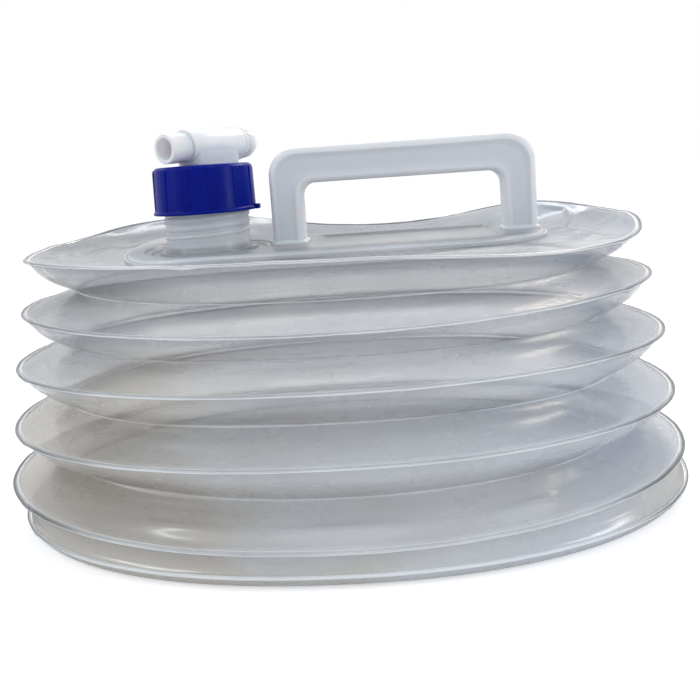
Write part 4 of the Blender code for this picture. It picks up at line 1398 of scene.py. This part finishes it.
def rubber_material():
    shop = Finish("rubber")
    cloud = shop.grain(300.0)
    return shop.feed(
        Base_Color=shop.mix_color(cloud + 0.5, (0.06, 0.06, 0.065), (0.11, 0.11, 0.115)),
        Roughness=0.7, Normal=shop.bump(cloud, 0.2, 0.1 * MM))


# Stage


# The room lights the carrier with this colour and strength; the camera sees plain white
ROOM_COLOR = (0.93, 0.96, 1.0, 1.0)
ROOM_STRENGTH = 0.75
FLOOR_HALF_WIDTH = 6.0
FLOOR_DROP = 0.2 * MM
# Lamps: name, place, aim, size, watts and colour
LAMPS = (
    ("back_strip", (-0.25, 0.75, 1.15), (0, 0, 0.1), (1.3, 0.12), 4.5, (1.0, 1.0, 1.0)),
    ("left_strip", (-0.9, -0.5, 0.8), (0, 0, 0.1), (0.10, 0.9), 4.0, (0.92, 0.96, 1.0)),
    ("right_window", (0.50, 0.62, 0.86), (0.08, 0, 0.08), (0.24, 0.24), 5.0, (1.0, 0.88, 0.74)),
    ("right_strip", (0.9, -0.35, 0.5), (0.05, 0, 0.1), (0.12, 0.8), 3.0, (0.95, 0.97, 1.0)),
)


def white_seen(shop, surface, color):
    """Plain white to the camera, in gloss and through clear pieces; the surface itself to other rays."""
    rays = shop.tree.nodes.new("ShaderNodeLightPath")
    seen = [Value(shop, rays.outputs[name]) for name in
            ("Is Camera Ray", "Is Glossy Ray", "Is Transmission Ray")]
    share = seen[0].math("MAXIMUM", seen[1]).math("MAXIMUM", seen[2])
    sockets = {0: share, 1: surface, 2: color}
    return shop.node("ShaderNodeMixShader", {}, sockets)


def make_world():
    world = bpy.data.worlds.new("studio")
    bpy.context.scene.world = world
    world.use_nodes = True
    shop = Shop(world.node_tree)
    background = world.node_tree.nodes["Background"]
    background.inputs["Color"].default_value = ROOM_COLOR
    background.inputs["Strength"].default_value = ROOM_STRENGTH
    plain = shop.node("ShaderNodeBackground", {}, {"Color": (1.0, 1.0, 1.0, 1.0), "Strength": 1.0})
    seen = white_seen(shop, Value(shop, background.outputs[0]), plain)
    world.node_tree.links.new(seen.socket, world.node_tree.nodes["World Output"].inputs[0])


def make_floor():
    """A wide pale floor that the camera sees as white, less the shadow that the carrier leaves on it."""
    shop = Finish("floor")
    seen = shop.node("ShaderNodeLightPath", out="Is Camera Ray")
    made = shop.feed(
        Base_Color=(0.80, 0.80, 0.81, 1.0), Roughness=0.9, Specular_IOR_Level=0.1,
        Emission_Color=shop.mix_color(seen, (0.0, 0.0, 0.0), (0.45, 0.45, 0.45)), Emission_Strength=1.0)
    half = FLOOR_HALF_WIDTH
    corners = [(-half, -half, 0), (half, -half, 0), (half, half, 0), (-half, half, 0)]
    mesh = bpy.data.meshes.new("floor")
    mesh.from_pydata(corners, [], [(0, 1, 2, 3)])
    floor = link("floor", mesh, made)
    floor.location.z = -FLOOR_DROP


def make_lights():
    for name, place, aim, size, watts, color in LAMPS:
        light = bpy.data.lights.new(name, "AREA")
        light.shape = "RECTANGLE"
        light.size, light.size_y = size
        light.energy = watts
        light.color = color
        made = link(name, light)
        made.location = place
        made.rotation_euler = (Vector(aim) - Vector(place)).to_track_quat("-Z", "Y").to_euler()


def make_camera():
    data = bpy.data.cameras.new("camera")
    data.lens = CAMERA_LENS
    data.sensor_width = CAMERA_SENSOR
    data.shift_y = CAMERA_SHIFT
    data.clip_start = CAMERA_NEAR
    camera = link("camera", data)
    turn = Matrix.Rotation(CAMERA_YAW, 4, "Z") @ Matrix.Rotation(QUARTER - CAMERA_PITCH, 4, "X")
    roll = Matrix.Rotation(-CAMERA_ROLL, 4, "Z")
    camera.matrix_world = Matrix.Translation(CAMERA_PLACE) @ turn @ roll
    bpy.context.scene.camera = camera


def main():
    scene = bpy.context.scene
    scene.view_settings.view_transform = "Standard"
    scene.cycles.transparent_max_bounces = 32
    layout = read_layout()
    film, weld = film_material(layout), weld_material()
    clear, milky = clear_moulding_material(layout), milky_material()
    blue, white, rubber = blue_material(), white_material(), rubber_material()
    make_base_pan(film)
    make_wall_and_folds(film)
    make_lips(weld)
    make_top_film(film, layout)
    make_pad(clear, layout)
    make_neck(clear, layout)
    make_handle(milky, layout)
    make_cap(blue, layout)
    make_tap(white, layout)
    for name in ("gasket", "o_ring_1", "o_ring_2"):
        node = bpy.data.objects[name]
        node.data.materials.clear()
        node.data.materials.append(rubber)
    make_world()
    make_floor()
    make_lights()
    make_camera()


main()
